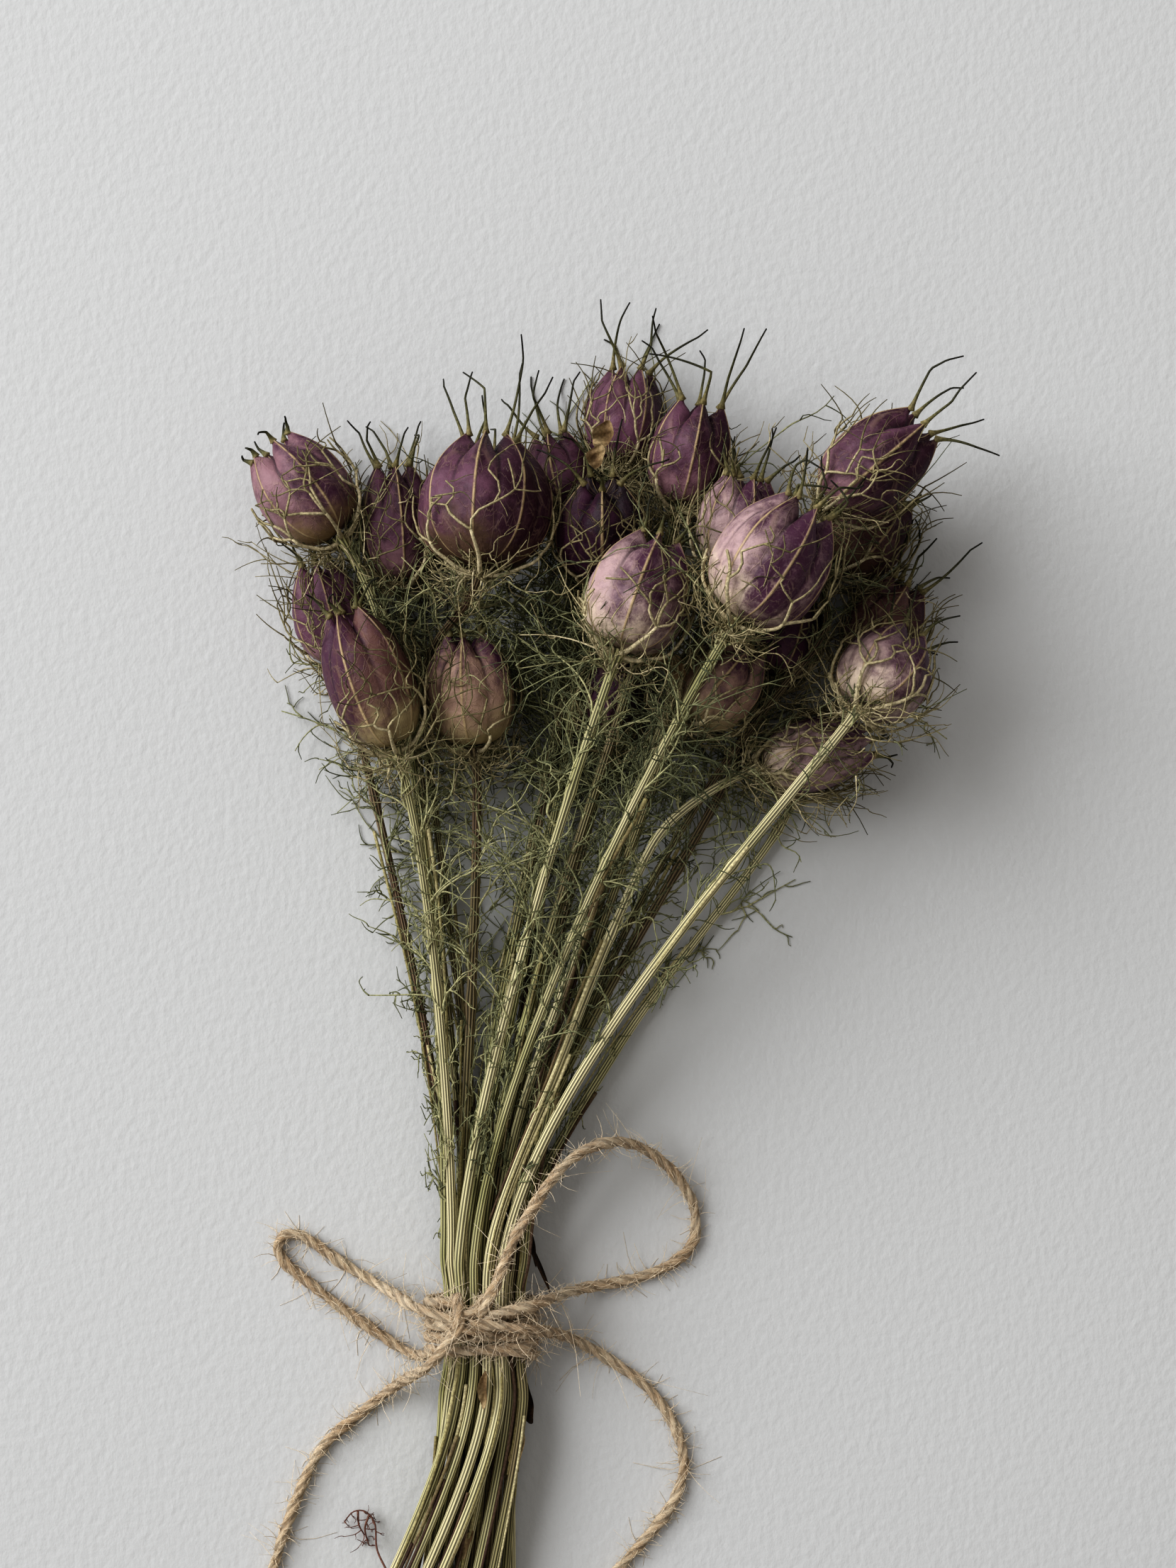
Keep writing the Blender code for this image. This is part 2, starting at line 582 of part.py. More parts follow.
def tube(name, path, radii, sides, finish, pointed):
    """A closed tube. A pointed one ends in a single point, and the others in a flat cap."""
    rings = rings_along(np.array(path), radii, sides)
    if pointed:
        tip = rings[-1].mean(axis=0)
        rings = rings[:-1]
    points = list(rings.reshape(-1, 3))
    faces = [tuple(range(sides))]
    for k in range(len(rings) - 1):
        for j in range(sides):
            a, b = k * sides + j, k * sides + (j + 1) % sides
            faces.append((a, b, b + sides, a + sides))
    last = (len(rings) - 1) * sides
    if pointed:
        points.append(tip)
        faces += [(last + j, last + (j + 1) % sides, len(points) - 1) for j in range(sides)]
    else:
        faces.append(tuple(last + j for j in range(sides)))
    return solid(name, points, faces, finish)


def thread(name, path, radius, finish):
    """A thin three-sided thread, a little slimmer towards its point."""
    radii = np.linspace(radius, radius * 0.75, len(path))
    return tube(name, path, radii, 3, finish, pointed=True)


def pod_solid(pod):
    """The capsule: rings of ridge and groove points, a closed base and a dip between the horns."""
    angles = np.radians(pod.roll) + np.arange(2 * pod.lobes) * math.pi / pod.lobes
    groove = np.arange(2 * pod.lobes) % 2
    points = [pod_base(pod)]
    for height in RING_HEIGHTS:
        points += list(pod_points(pod, np.full(len(angles), height), angles, groove))
    points.append(pod_base(pod) + pod_axes(pod)[2] * pod.length * (1.0 - GROOVE_DROP - TOP_DIP * 0.5))
    around = len(angles)
    faces = [(0, 1 + (j + 1) % around, 1 + j) for j in range(around)]
    for k in range(len(RING_HEIGHTS) - 1):
        for j in range(around):
            a, b = 1 + k * around + j, 1 + k * around + (j + 1) % around
            faces += [(a, b, b + around), (a, b + around, a + around)]
    last = 1 + (len(RING_HEIGHTS) - 1) * around
    faces += [(last + j, last + (j + 1) % around, len(points) - 1) for j in range(around)]
    return solid("pod_" + pod.name, points, faces, pod.finish)


def flatten_below_table(obj):
    """Cuts off what reaches under z = 0 and closes the cut, which leaves the spot that the part rests on."""
    shaped = bmesh.new()
    shaped.from_mesh(obj.data)
    if min(v.co.z for v in shaped.verts) < 0.0:
        everything = list(shaped.verts) + list(shaped.edges) + list(shaped.faces)
        bmesh.ops.bisect_plane(
            shaped, geom=everything, dist=1e-7, plane_co=(0, 0, 0), plane_no=(0, 0, 1), clear_inner=True
        )
        rim = [e for e in shaped.edges if e.is_boundary]
        bmesh.ops.holes_fill(shaped, edges=rim, sides=0)
        bmesh.ops.recalc_face_normals(shaped, faces=shaped.faces)
    shaped.to_mesh(obj.data)
    shaped.free()


def unite(obj, pieces):
    """Joins the pieces to obj in one Boolean union, and removes them."""
    group = bpy.data.collections.new(obj.name + "_pieces")
    bpy.context.scene.collection.children.link(group)
    for piece in pieces:
        bpy.context.scene.collection.objects.unlink(piece)
        group.objects.link(piece)
    join = obj.modifiers.new("join", "BOOLEAN")
    join.operation = "UNION"
    join.operand_type = "COLLECTION"
    join.collection = group
    join.solver = "MANIFOLD"
    bpy.context.view_layer.update()
    joined = bpy.data.meshes.new_from_object(obj.evaluated_get(bpy.context.evaluated_depsgraph_get()))
    obj.modifiers.remove(join)
    obj.data = joined
    for piece in pieces:
        bpy.data.objects.remove(piece)
    bpy.data.collections.remove(group)


def make_pods(room):
    """Every capsule with its horns."""
    rng = np.random.default_rng(SEED + 1)
    for owner, pod in enumerate(PODS):
        body = pod_solid(pod)
        flatten_below_table(body)
        horns = []
        for k, path in enumerate(horns_of(pod, rng)):
            kept = place_thread(room, path, HORN_RADIUS, 100 + owner, pod, 2.5)
            if kept is not None:
                horns.append(thread(f"horn_{k}", kept, HORN_RADIUS, pod.finish))
        unite(body, horns)


def make_stems(room, stems):
    """Every stem with the lace round its pod and its thread leaves."""
    rng = np.random.default_rng(SEED + 2)
    for owner, (pod, stem) in enumerate(zip(PODS, stems)):
        along = pod_axes(pod)[2]
        cup = stem[0] - along * np.array([0.0, 1.4])[:, None]
        rest = stem[stem @ along < stem[0] @ along - 3.2]
        slack = np.where(np.abs(rest[:, 1] - TIE[1]) < 20.0, SLACK_AT_TIE, SLACK_ELSEWHERE)
        path = np.concatenate([cup, thin_out(rest, slack)])
        radii = np.concatenate([[RECEPTACLE_RADIUS] * 2, stem_radius(path[2:, 1]) * 1.06])
        stalk = tube("stem_" + pod.name, path, radii, STEM_SIDES, "stem", pointed=False)
        pieces = []
        for rib, branches in lace_of(pod, rng):
            kept = place_thread(room, rib, RIB_RADIUS, owner, pod, 5.0)
            if kept is None:
                continue
            pieces.append(thread("rib", kept, RIB_RADIUS, "stem"))
            for branch in branches:
                grown = place_thread(room, branch, THREAD_RADIUS, owner, pod, 3.0) if len(kept) > 3 else None
                if grown is not None:
                    pieces.append(thread("fork", grown, THREAD_RADIUS, "stem"))
        grown_leaves = 0
        for leaf, fork in leaves_of(stem, rng):
            kept = place_thread(room, leaf, LEAF_RADIUS, owner, pod, 7.0) if grown_leaves < LEAVES_A_STEM else None
            if kept is None:
                continue
            grown_leaves += 1
            pieces.append(thread("leaf", kept, LEAF_RADIUS, "stem"))
            grown = place_thread(room, fork, LEAF_RADIUS, owner, pod, 2.5) if len(kept) > 2 else None
            if grown is not None:
                pieces.append(thread("fork", grown, LEAF_RADIUS, "stem"))
        unite(stalk, pieces)


# The twine

def wrap_outline(extra):
    """The closed oval, extra outside the inner one, that the turns of twine follow."""
    t = np.arange(TIE_FACETS) * 2 * math.pi / TIE_FACETS
    c, s = np.cos(t), np.sin(t)
    a, b = TIE_INNER[0] + extra, TIE_INNER[1] + extra
    x = np.sign(c) * np.abs(c) ** (2 / TIE_POWER) * a
    z = np.sign(s) * np.abs(s) ** (2 / TIE_POWER) * b
    return x, z


def make_wrap():
    """The turns round the stems as one band with a bead for each turn, and the knot on its top."""
    beads = 2 * TIE_TURNS + 1
    ys = np.linspace(-TIE_HALF_LENGTH, TIE_HALF_LENGTH, beads)
    outs = [TWINE if k % 2 else TWINE * 0.45 for k in range(beads)]
    profile = [(0.0, ys[0])] + list(zip(outs, ys)) + [(0.0, ys[-1])]
    points = []
    for out, y in profile:
        x, z = wrap_outline(out)
        points += [TIE + np.array([x[j], y, z[j]]) for j in range(TIE_FACETS)]
    faces = []
    for k in range(len(profile)):
        for j in range(TIE_FACETS):
            a, b = k * TIE_FACETS + j, k * TIE_FACETS + (j + 1) % TIE_FACETS
            c, d = (a + TIE_FACETS) % len(points), (b + TIE_FACETS) % len(points)
            faces.append((a, b, d, c))
    band = solid("twine_wrap", points, faces, "twine")
    flatten_below_table(band)
    return band


def make_knot():
    """The knot as a low lump, a ring of eight points at three heights between two poles."""
    points = [np.array(KNOT_CENTRE) - [0, 0, KNOT_HALF[2]]]
    for level in (-0.6, 0.0, 0.6):
        spread = math.sqrt(1.0 - level ** 2)
        for j in range(8):
            turn = j * math.pi / 4
            offset = np.array([math.cos(turn) * spread, math.sin(turn) * spread, level]) * np.array(KNOT_HALF)
            points.append(np.array(KNOT_CENTRE) + offset)
    points.append(np.array(KNOT_CENTRE) + [0, 0, KNOT_HALF[2]])
    faces = [(0, 1 + (j + 1) % 8, 1 + j) for j in range(8)]
    for k in range(2):
        faces += [(1 + 8 * k + j, 1 + 8 * k + (j + 1) % 8, 9 + 8 * k + (j + 1) % 8, 9 + 8 * k + j) for j in range(8)]
    faces += [(17 + j, 17 + (j + 1) % 8, 25) for j in range(8)]
    return solid("knot", points, faces, "twine")


def smooth_route(points, spacing):
    """Points spacing apart on the smooth curve through the route's own points."""
    points = np.array(points, float)
    padded = np.concatenate([[2 * points[0] - points[1]], points, [2 * points[-1] - points[-2]]])
    fine = []
    for k in range(1, len(padded) - 2):
        for t in np.linspace(0.0, 1.0, 12, endpoint=False):
            p0, p1, p2, p3 = padded[k - 1:k + 3]
            fine.append(0.5 * (
                2 * p1 + (p2 - p0) * t + (2 * p0 - 5 * p1 + 4 * p2 - p3) * t ** 2
                + (3 * p1 - p0 - 3 * p2 + p3) * t ** 3
            ))
    fine.append(padded[-2])
    return sampled(np.array(fine), spacing)


def make_cord(name, route):
    """One free stretch of twine, as a bevelled curve with closed ends."""
    spots = smooth_route(route, 2.6 * TWINE)
    data = bpy.data.curves.new(name, "CURVE")
    data.dimensions = "3D"
    data.bevel_depth = TWINE / 2 * MM
    data.bevel_resolution = 2
    data.use_fill_caps = True
    spline = data.splines.new("POLY")
    spline.points.add(len(spots) - 1)
    for point, spot in zip(spline.points, (spots + BENCH_TO_BOX) * MM):
        point.co = (*spot, 1.0)
    return link(name, data, "twine")


def make_twine(room):
    band = make_wrap()
    unite(band, [make_knot()])
    for name, route in BOW.items():
        make_cord(name, route)
        room.add(smooth_route(route, 1.0), TWINE / 2, 200)


def add_wrap_to_room(room):
    """The wrap's turns as balls, so that leaves stay off them."""
    for y in np.linspace(-TIE_HALF_LENGTH, TIE_HALF_LENGTH, 7):
        x, z = wrap_outline(TWINE / 2)
        room.add(TIE + np.stack([x, np.full(len(x), y), z], axis=1), TWINE / 2, 200)


def main():
    for obj in list(bpy.data.objects):
        bpy.data.objects.remove(obj)
    room = Room()
    stems = whole_stems()
    for owner, stem in enumerate(stems):
        spots = sampled(stem)
        room.add(spots, stem_radius(spots[:, 1]), owner)
    make_twine(room)
    add_wrap_to_room(room)
    make_pods(room)
    make_stems(room, stems)


main()
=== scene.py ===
"""A bunch of dried love-in-a-mist seed pods, tied with jute twine and lying on its side.

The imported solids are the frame. Every solid is replaced here by a finer piece in the same place:
ribbed capsules with horns, ribbed stems, and twisted twine. Lace, thread leaves and dry bits are added.
Lengths are in millimetres until a mesh is made, and positions are in the bench coordinates of
the part's source, moved by BENCH_TO_BOX into the frame.
"""

import math
from typing import NamedTuple

import bpy
import numpy as np
from bpy.props import FloatProperty, FloatVectorProperty, IntProperty, PointerProperty
from bpy.types import Operator, Panel, PropertyGroup
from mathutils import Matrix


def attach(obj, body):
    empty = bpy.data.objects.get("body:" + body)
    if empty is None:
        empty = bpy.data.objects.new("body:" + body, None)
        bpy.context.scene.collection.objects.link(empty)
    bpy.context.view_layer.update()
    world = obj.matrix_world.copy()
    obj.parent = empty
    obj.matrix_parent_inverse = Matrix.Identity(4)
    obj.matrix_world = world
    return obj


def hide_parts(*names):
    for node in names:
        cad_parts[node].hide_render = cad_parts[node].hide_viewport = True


bl_info = {
    "name": "Dried nigella bunch",
    "version": (1, 0, 0),
    "blender": (4, 5, 0),
    "location": "3D View > Sidebar > Nigella",
    "description": "Dresses the solids of a tied bunch of dried nigella with capsules, lace, leaves and twine",
    "category": "Add Mesh",
}

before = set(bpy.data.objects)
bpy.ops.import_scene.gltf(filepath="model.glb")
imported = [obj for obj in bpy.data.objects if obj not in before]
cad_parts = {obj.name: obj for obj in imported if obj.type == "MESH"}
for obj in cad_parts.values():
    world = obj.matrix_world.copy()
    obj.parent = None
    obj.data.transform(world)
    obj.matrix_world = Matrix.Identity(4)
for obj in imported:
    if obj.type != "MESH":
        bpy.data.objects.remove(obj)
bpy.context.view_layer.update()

MM = 0.001
SEED = 21
BENCH_TO_BOX = np.array([-5.12, 52.05, 0.0])
UP = np.array([0.0, 0.0, 1.0])

BELLY_SHIFT = 0.86
BELLY_POWER = 2.2
TOP_DIP = 0.10
GROOVE_AT_BASE = 0.09
GROOVE_AT_TIP = 0.34
GROOVE_DROP = 0.11

STEM_RADIUS_LOW = 1.12
STEM_RADIUS_TOP = 0.95
SLICE = 3.0
STEM_END_Y = -203.0
ROW_COUNTS = (5, 6, 6, 4)
ROW_SHIFTS = (0.0, 0.0, 0.5, 0.0)
FOOT_SHIFTS = (-1.0, -7.0, -17.0, -31.0)
FOOT_SPREAD = 1.35
PACK_GAP = 0.5
POD_TO_STEM_GAP = 0.35
GUIDES = {
    "03": ((-34.5, 20.0, 5.0),),
    "19": ((40.0, -10.6, 3.0), (6.4, -56.0, 3.2)),
    "20": ((14.7, -10.4, 20.0), (-6.3, -59.2, 19.0)),
}
TIE_LIFTS = {"03": -25.0, "20": 16.0}
TABLE_GAP = 0.05
SHELL_FLOOR = 0.02
THREAD_FLOOR = 0.35
PILE_TOP, PILE_EASE = 46.0, 14.0

TWINE = 2.5
TIE = np.array([-22.5, -113.5, 7.9])
TIE_HALF_LENGTH = 6.4
TIE_INNER = (9.8, 5.6)
TIE_POWER = 2.8

CREAM = (0.70, 0.575, 0.47)
STRAW = (0.40, 0.32, 0.18)
TAN = (0.29, 0.20, 0.11)
BROWN = (0.14, 0.085, 0.058)
FAWN = (0.42, 0.28, 0.22)
RUST = (0.16, 0.082, 0.072)
PINK = (0.48, 0.34, 0.345)
BLUSH = (0.31, 0.18, 0.205)
MAUVE = (0.165, 0.074, 0.115)
PLUM = (0.078, 0.026, 0.056)
WINE = (0.042, 0.011, 0.024)
INK = (0.015, 0.005, 0.011)


class Pod(NamedTuple):
    """One seed pod. Its skin is the foot colour round its base, then the body colour, under a mottled
    cover of the deep one. cover is how much of that there is, top how much more there is at the tip, and
    side is where round the pod there is least, as a painted highlight on the side that faces the light;
    the far side gets more of it as painted shade."""

    name: str
    middle: tuple
    heading: float
    tilt: float
    width: float
    length: float
    lobes: int
    roll: float
    shoulder: float
    horn: float
    bracts: int
    finish: str
    foot: tuple
    body: tuple
    deep: tuple
    cover: float
    top: float
    side: float


PODS = (
    Pod("01", (-59.2, 60.9, 14.4), -38, 0, 19.9, 22.3, 6, 12, 0.50, 4.0, 5, "rose", TAN, BLUSH, PLUM, 0.50, -0.1, 140),
    Pod("02", (-40.2, 54.8, 7.6), -4, 5, 16.7, 23.5, 6, 20, 0.45, 11.0, 4, "dark", BLUSH, MAUVE, WINE, 0.55, 0.25, 120),
    Pod("03", (-21.1, 57.1, 25.2), 4, -14, 27.0, 26.6, 8, 8, 0.40, 16.0, 5, "dark", BROWN, MAUVE, WINE, 0.52, 0.1, 175),
    Pod("04", (7.7, 77.3, 6.8), 8, -5, 16.1, 19.4, 6, 0, 0.48, 13.0, 4, "dark", MAUVE, MAUVE, WINE, 0.5, 0.2, 120),
    Pod("05", (-5.8, 64.8, 6.6), -12, 0, 14.9, 17.6, 5, 30, 0.42, 12.0, 4, "dark", PLUM, MAUVE, WINE, 0.6, 0.2, 120),
    Pod("06", (2.9, 52.6, 20.2), 0, 30, 19.4, 20.4, 5, 18, 0.40, 10.0, 4, "dark", PLUM, PLUM, INK, 0.62, 0.1, 120),
    Pod("07", (21.2, 68.3, 17.3), 12, 5, 17.7, 20.6, 6, 26, 0.55, 16.0, 4, "dark", BLUSH, MAUVE, WINE, 0.50, 0.3, 140),
    Pod("08", (30.8, 53.0, 25.0), 10, 5, 17.2, 18.7, 6, 14, 0.50, 10.0, 4, "pale", CREAM, PINK, PLUM, 0.56, 0.3, 140),
    Pod("09", (36.6, 43.7, 43.8), 33, 0, 23.3, 25.4, 7, 24, 0.42, 11.0, 5, "pale", CREAM, PINK, PLUM, 0.74, 0.25, 150),
    Pod("10", (58.4, 64.9, 29.6), 50, 8, 18.7, 24.2, 5, 16, 0.45, 15.0, 5, "dark", BLUSH, MAUVE, WINE, 0.55, 0.1, 150),
    Pod("11", (59.0, 52.8, 7.6), 38, 0, 17.2, 18.6, 6, 10, 0.42, 6.0, 4, "rose", BROWN, RUST, WINE, 0.45, 0.2, 150),
    Pod("12", (10.3, 38.0, 35.6), 20, -10, 21.5, 23.6, 6, 34, 0.38, 7.0, 5, "pale", CREAM, PINK, PLUM, 0.56, 0.35, 165),
    Pod("13", (-54.9, 36.0, 7.2), -14, 6, 15.8, 20.8, 6, 22, 0.42, 7.0, 4, "rose", BLUSH, MAUVE, PLUM, 0.45, 0.2, 120),
    Pod("14", (-44.9, 21.4, 22.0), -20, 3, 18.2, 29.0, 5, 40, 0.36, 7.0, 5, "rose", STRAW, RUST, PLUM, 0.42, 0.35, 20),
    Pod("15", (-24.4, 19.4, 15.0), -4, 8, 18.6, 22.8, 5, 28, 0.38, 7.0, 4, "tan", STRAW, FAWN, PLUM, 0.38, 0.6, 110),
    Pod("16", (5.8, 19.6, 6.7), 8, 0, 14.2, 16.1, 6, 18, 0.42, 5.0, 4, "dark", MAUVE, PLUM, INK, 0.55, 0.1, 120),
    Pod("17", (27.3, 20.7, 18.0), 40, 5, 17.3, 19.1, 5, 20, 0.38, 5.0, 4, "tan", STRAW, FAWN, PLUM, 0.34, 0.3, 120),
    Pod("18", (60.1, 22.4, 30.8), 38, -32, 18.7, 20.1, 6, 6, 0.45, 11.0, 5, "pale", CREAM, PINK, PLUM, 0.58, 0.9, 120),
    Pod("19", (62.7, 33.7, 8.1), 30, 10, 15.8, 18.4, 5, 24, 0.45, 13.0, 4, "rose", BLUSH, RUST, WINE, 0.45, 0.2, 120),
    Pod("20", (47.8, 5.9, 13.0), 78, 0, 15.1, 23.0, 5, 38, 0.40, 5.0, 5, "pale", CREAM, PINK, PLUM, 0.52, 0.1, 90),
    Pod("21", (41.5, 31.5, 7.4), 15, -5, 16.4, 18.2, 6, 12, 0.42, 6.0, 4, "dark", MAUVE, PLUM, INK, 0.55, 0.2, 120),
)

BOW = {
    "twine_loop_right": (
        (-22.8, -110.3, 18.7), (-21.0, -107.7, 18.9), (-18.6, -102.4, 19.0), (-15.2, -94.0, 19.8),
        (-11.0, -87.0, 20.4), (-6.5, -80.5, 20.4), (-1.5, -76.5, 18.2), (3.5, -75.0, 14.5), (8.5, -75.5, 10.5),
        (14.0, -78.5, 7.0), (18.5, -83.0, 4.2), (22.0, -88.5, 2.3), (23.0, -93.5, 1.5),
        (22.3, -98.0, 1.35), (19.0, -101.6, 1.35), (13.5, -104.4, 1.35), (6.5, -106.2, 1.5),
        (0.2, -107.0, 3.4), (-4.4, -107.3, 7.8), (-7.8, -107.7, 12.8), (-11.6, -108.4, 17.0),
        (-16.9, -109.3, 18.6), (-21.5, -110.6, 18.0),
    ),
    "twine_loop_left": (
        (-27.0, -111.2, 18.4), (-30.3, -110.5, 18.0), (-34.2, -109.6, 16.3), (-37.5, -108.9, 12.6),
        (-40.0, -108.2, 8.0),
        (-42.6, -107.4, 4.5), (-45.4, -106.2, 2.3), (-49.2, -104.2, 1.4), (-53.5, -101.5, 1.35),
        (-57.6, -98.6, 1.35), (-61.3, -96.3, 1.35), (-64.6, -96.2, 1.35), (-66.2, -99.0, 1.35),
        (-64.4, -102.4, 1.35), (-59.6, -106.4, 1.35), (-54.0, -110.8, 1.35), (-48.7, -114.6, 1.35),
        (-43.6, -118.0, 1.35), (-39.8, -120.4, 1.6), (-36.2, -121.6, 3.2), (-34.3, -120.9, 5.2), (-33.3, -119.4, 6.6),
    ),
    "twine_tail_left": (
        (-26.4, -112.2, 18.9), (-28.9, -115.6, 18.3), (-31.2, -118.8, 17.6), (-33.9, -121.8, 15.2),
        (-36.6, -124.2, 10.8),
        (-39.4, -126.6, 5.6), (-42.9, -129.6, 2.2), (-47.0, -133.0, 1.35), (-51.5, -136.6, 1.35),
        (-55.5, -140.2, 1.35), (-58.6, -144.6, 1.35), (-61.0, -149.6, 1.35), (-63.1, -155.0, 1.35),
        (-65.0, -160.3, 1.35), (-66.6, -165.5, 1.35), (-68.0, -170.6, 1.35), (-69.0, -175.5, 1.35),
    ),
    "twine_tail_right": (
        (-24.6, -111.8, 19.3), (-21.0, -112.0, 19.0), (-17.5, -112.5, 18.5), (-14.3, -113.0, 18.0),
        (-11.3, -113.7, 15.9),
        (-8.5, -114.8, 12.3), (-5.9, -116.1, 8.2), (-3.1, -117.9, 4.6), (0.0, -119.9, 2.2), (3.2, -122.0, 1.4),
        (6.7, -124.3, 1.35), (10.8, -127.2, 1.35), (14.6, -131.0, 1.35), (17.8, -135.8, 1.35),
        (19.9, -141.0, 1.35), (20.4, -146.2, 1.35), (19.0, -151.5, 1.35), (16.1, -156.4, 1.35),
        (12.6, -160.6, 1.35), (9.0, -164.7, 1.35), (5.4, -169.0, 1.35), (1.8, -173.5, 1.35),
    ),
}

# Dry scraps: middle, direction, length and width.
FLAKES = (
    ((3.2, 71.6, 25.5), (0.6, 1.0, 0.3), 6.4, 4.2), ((1.5, 66.4, 31.5), (0.2, 1.0, 0.1), 5.4, 3.6),
    ((17.2, 24.4, 25.5), (1.0, -0.5, 0.0), 7.5, 4.4), ((14.0, 25.6, 24.0), (1.0, 0.3, 0.2), 5.0, 3.2),
    ((-36.5, 44.5, 8.5), (0.4, 1.0, 0.0), 5.5, 2.6), ((-21.8, -126.5, 14.2), (0.1, 1.0, 0.0), 8.5, 1.9),
    ((-15.5, -141.0, 9.0), (0.1, 1.0, 0.0), 11.0, 2.6), ((-26.0, -160.5, 9.5), (0.5, 1.0, 0.1), 8.0, 2.4),
)
WITHERED = (
    ((-13.2, -131.0, 6.5), (0.1, -1.0, 0.1), 9.5, 3.2), ((-11.2, -101.0, 7.0), (0.22, -1.0, -0.15), 15.5, 1.1),
    ((-11.4, -97.0, 7.5), (0.35, -1.0, -0.2), 11.0, 0.9),
)

# The curled brown leaf by the lowest stems: its middle line, and two ribs that hang from it.
TUFT = (
    ((-42.6, -167.0, 5.5), (-44.9, -162.8, 3.2), (-45.4, -157.6, 2.4), (-47.4, -154.9, 2.8), (-50.0, -155.0, 2.6),
     (-52.0, -157.4, 1.4)),
    ((-46.6, -155.6, 2.7), (-47.6, -159.0, 1.6), (-46.8, -162.6, 0.8)),
    ((-49.0, -154.9, 2.7), (-48.9, -158.0, 1.5), (-47.8, -160.4, 0.8)),
)

# Places between the capsules, in bench millimetres, that the nearest stalk's leaves reach across.
TANGLES = (
    (-19.0, 41.0, 15.0), (-14.0, 44.0, 13.0), (-16.0, 34.0, 13.0), (-10.0, 37.0, 12.0), (-9.0, 29.0, 11.0),
    (-15.0, 25.0, 10.0), (-9.0, 19.0, 9.0), (-12.0, 11.0, 8.0), (-7.0, 4.0, 8.0), (-36.0, 30.0, 12.0),
    (2.0, 8.0, 9.0), (24.0, 12.0, 9.0), (30.0, 4.0, 8.0),
)

# How high up its capsule each one's lace climbs, and the side on which a capsule is bare.
LACE_REACH = {"02": 0.8, "03": 0.6, "07": 0.45, "10": 0.5, "13": 0.8, "16": 0.8, "17": 0.5, "18": 0.6}
BARE_SIDES = {"01": (-0.8, 0.6), "03": (-0.5, 0.86), "07": (0.0, 1.0), "09": (-0.3, 0.95), "12": (-0.4, 0.92),
              "14": (-0.9, 0.3)}

# How green or brown a stem may be for each row of the tie, from the lowest, and those that the photo shows.
# The lower rows lean browner and darker: partly stalks that are brown, partly painted shade under the rows above.
ROW_TONES = ((0.45, 1.05), (0.2, 0.95), (0.05, 0.7), (0.0, 0.3))
SEEN_TONES = {"19": 0.2, "20": -0.1, "18": 0.0}

# Radii of threads in millimetres: the lace by its forks, then the wisps, the leaves and the tuft.
LACE_RADII = (0.32, 0.25, 0.20, 0.17, 0.15)
WISP_RADIUS = 0.24
LEAF_RADIUS = 0.29
TUFT_RADIUS = 0.14

# Short strands that cross on top of the turns and make the knot.
KNOT_STRANDS = (
    ((-27.4, -106.8, 15.2), (-27.0, -108.6, 18.4), (-26.6, -111.2, 20.1), (-27.2, -113.8, 19.2), (-28.6, -116.6, 16.4)),
    ((-31.2, -112.4, 16.6), (-28.4, -112.6, 18.6), (-25.4, -112.9, 19.6), (-22.6, -113.3, 18.8), (-20.2, -114.0, 16.8)),
    ((-21.6, -106.9, 15.6), (-22.8, -108.6, 17.8), (-24.6, -109.9, 18.5), (-27.4, -110.6, 18.0), (-30.0, -111.0, 16.6)),
)


def unit(vector):
    """Vectors of the same directions and of length 1."""
    return vector / np.maximum(np.linalg.norm(vector, axis=-1, keepdims=True), 1e-9)


def smooth_step(t):
    """0 below 0, 1 above 1, and the cubic with flat ends in between."""
    t = np.clip(t, 0.0, 1.0)
    return t * t * (3.0 - 2.0 * t)


def run_lengths(path):
    """The distance along a path to each of its points."""
    return np.concatenate([[0.0], np.cumsum(np.linalg.norm(np.diff(path, axis=0), axis=1))])


def shade(colour, share):
    """A darker colour: each of its parts times the share."""
    return tuple(share * part for part in colour)


def blend(a, b, share):
    """The colour that lies the share of the way from a to b."""
    return tuple((1.0 - share) * x + share * y for x, y in zip(a, b))


def raised(points, floor):
    """The same points, none of them lower than the floor."""
    points[..., 2] = np.maximum(points[..., 2], floor)
    return points


# The shape of a pod, by the same rules as the solid


def pod_axes(pod):
    """The pod's own directions: to its right, up from its back, and from its base to its tip."""
    heading, tilt = math.radians(pod.heading), math.radians(pod.tilt)
    right = np.array([math.cos(heading), -math.sin(heading), 0.0])
    along = np.array([math.sin(heading) * math.cos(tilt), math.cos(heading) * math.cos(tilt), math.sin(tilt)])
    return right, np.cross(right, along), along


def pod_base(pod):
    return np.array(pod.middle) - pod_axes(pod)[2] * pod.length / 2


def belly(pod, height):
    """The outline's radius as a share of half the width: a superellipse whose widest place is low on the pod."""
    flat = (1.0 - pod.shoulder ** 2) ** (1.0 / BELLY_POWER)
    share = np.clip(height, 0.0, 1.0) * ((1.0 + flat) / 2.0) ** (1.0 / BELLY_SHIFT)
    return np.sqrt(np.clip(1.0 - np.abs(2.0 * share ** BELLY_SHIFT - 1.0) ** BELLY_POWER, 0.0, 1.0))


def ridge_angles(pod):
    return np.radians(pod.roll) + np.arange(pod.lobes) * 2.0 * math.pi / pod.lobes


def directions_round(pod, angle):
    """Directions square to the pod's own line, one for each angle round it."""
    right, up, _ = pod_axes(pod)
    return right * np.cos(angle)[..., None] + up * np.sin(angle)[..., None]


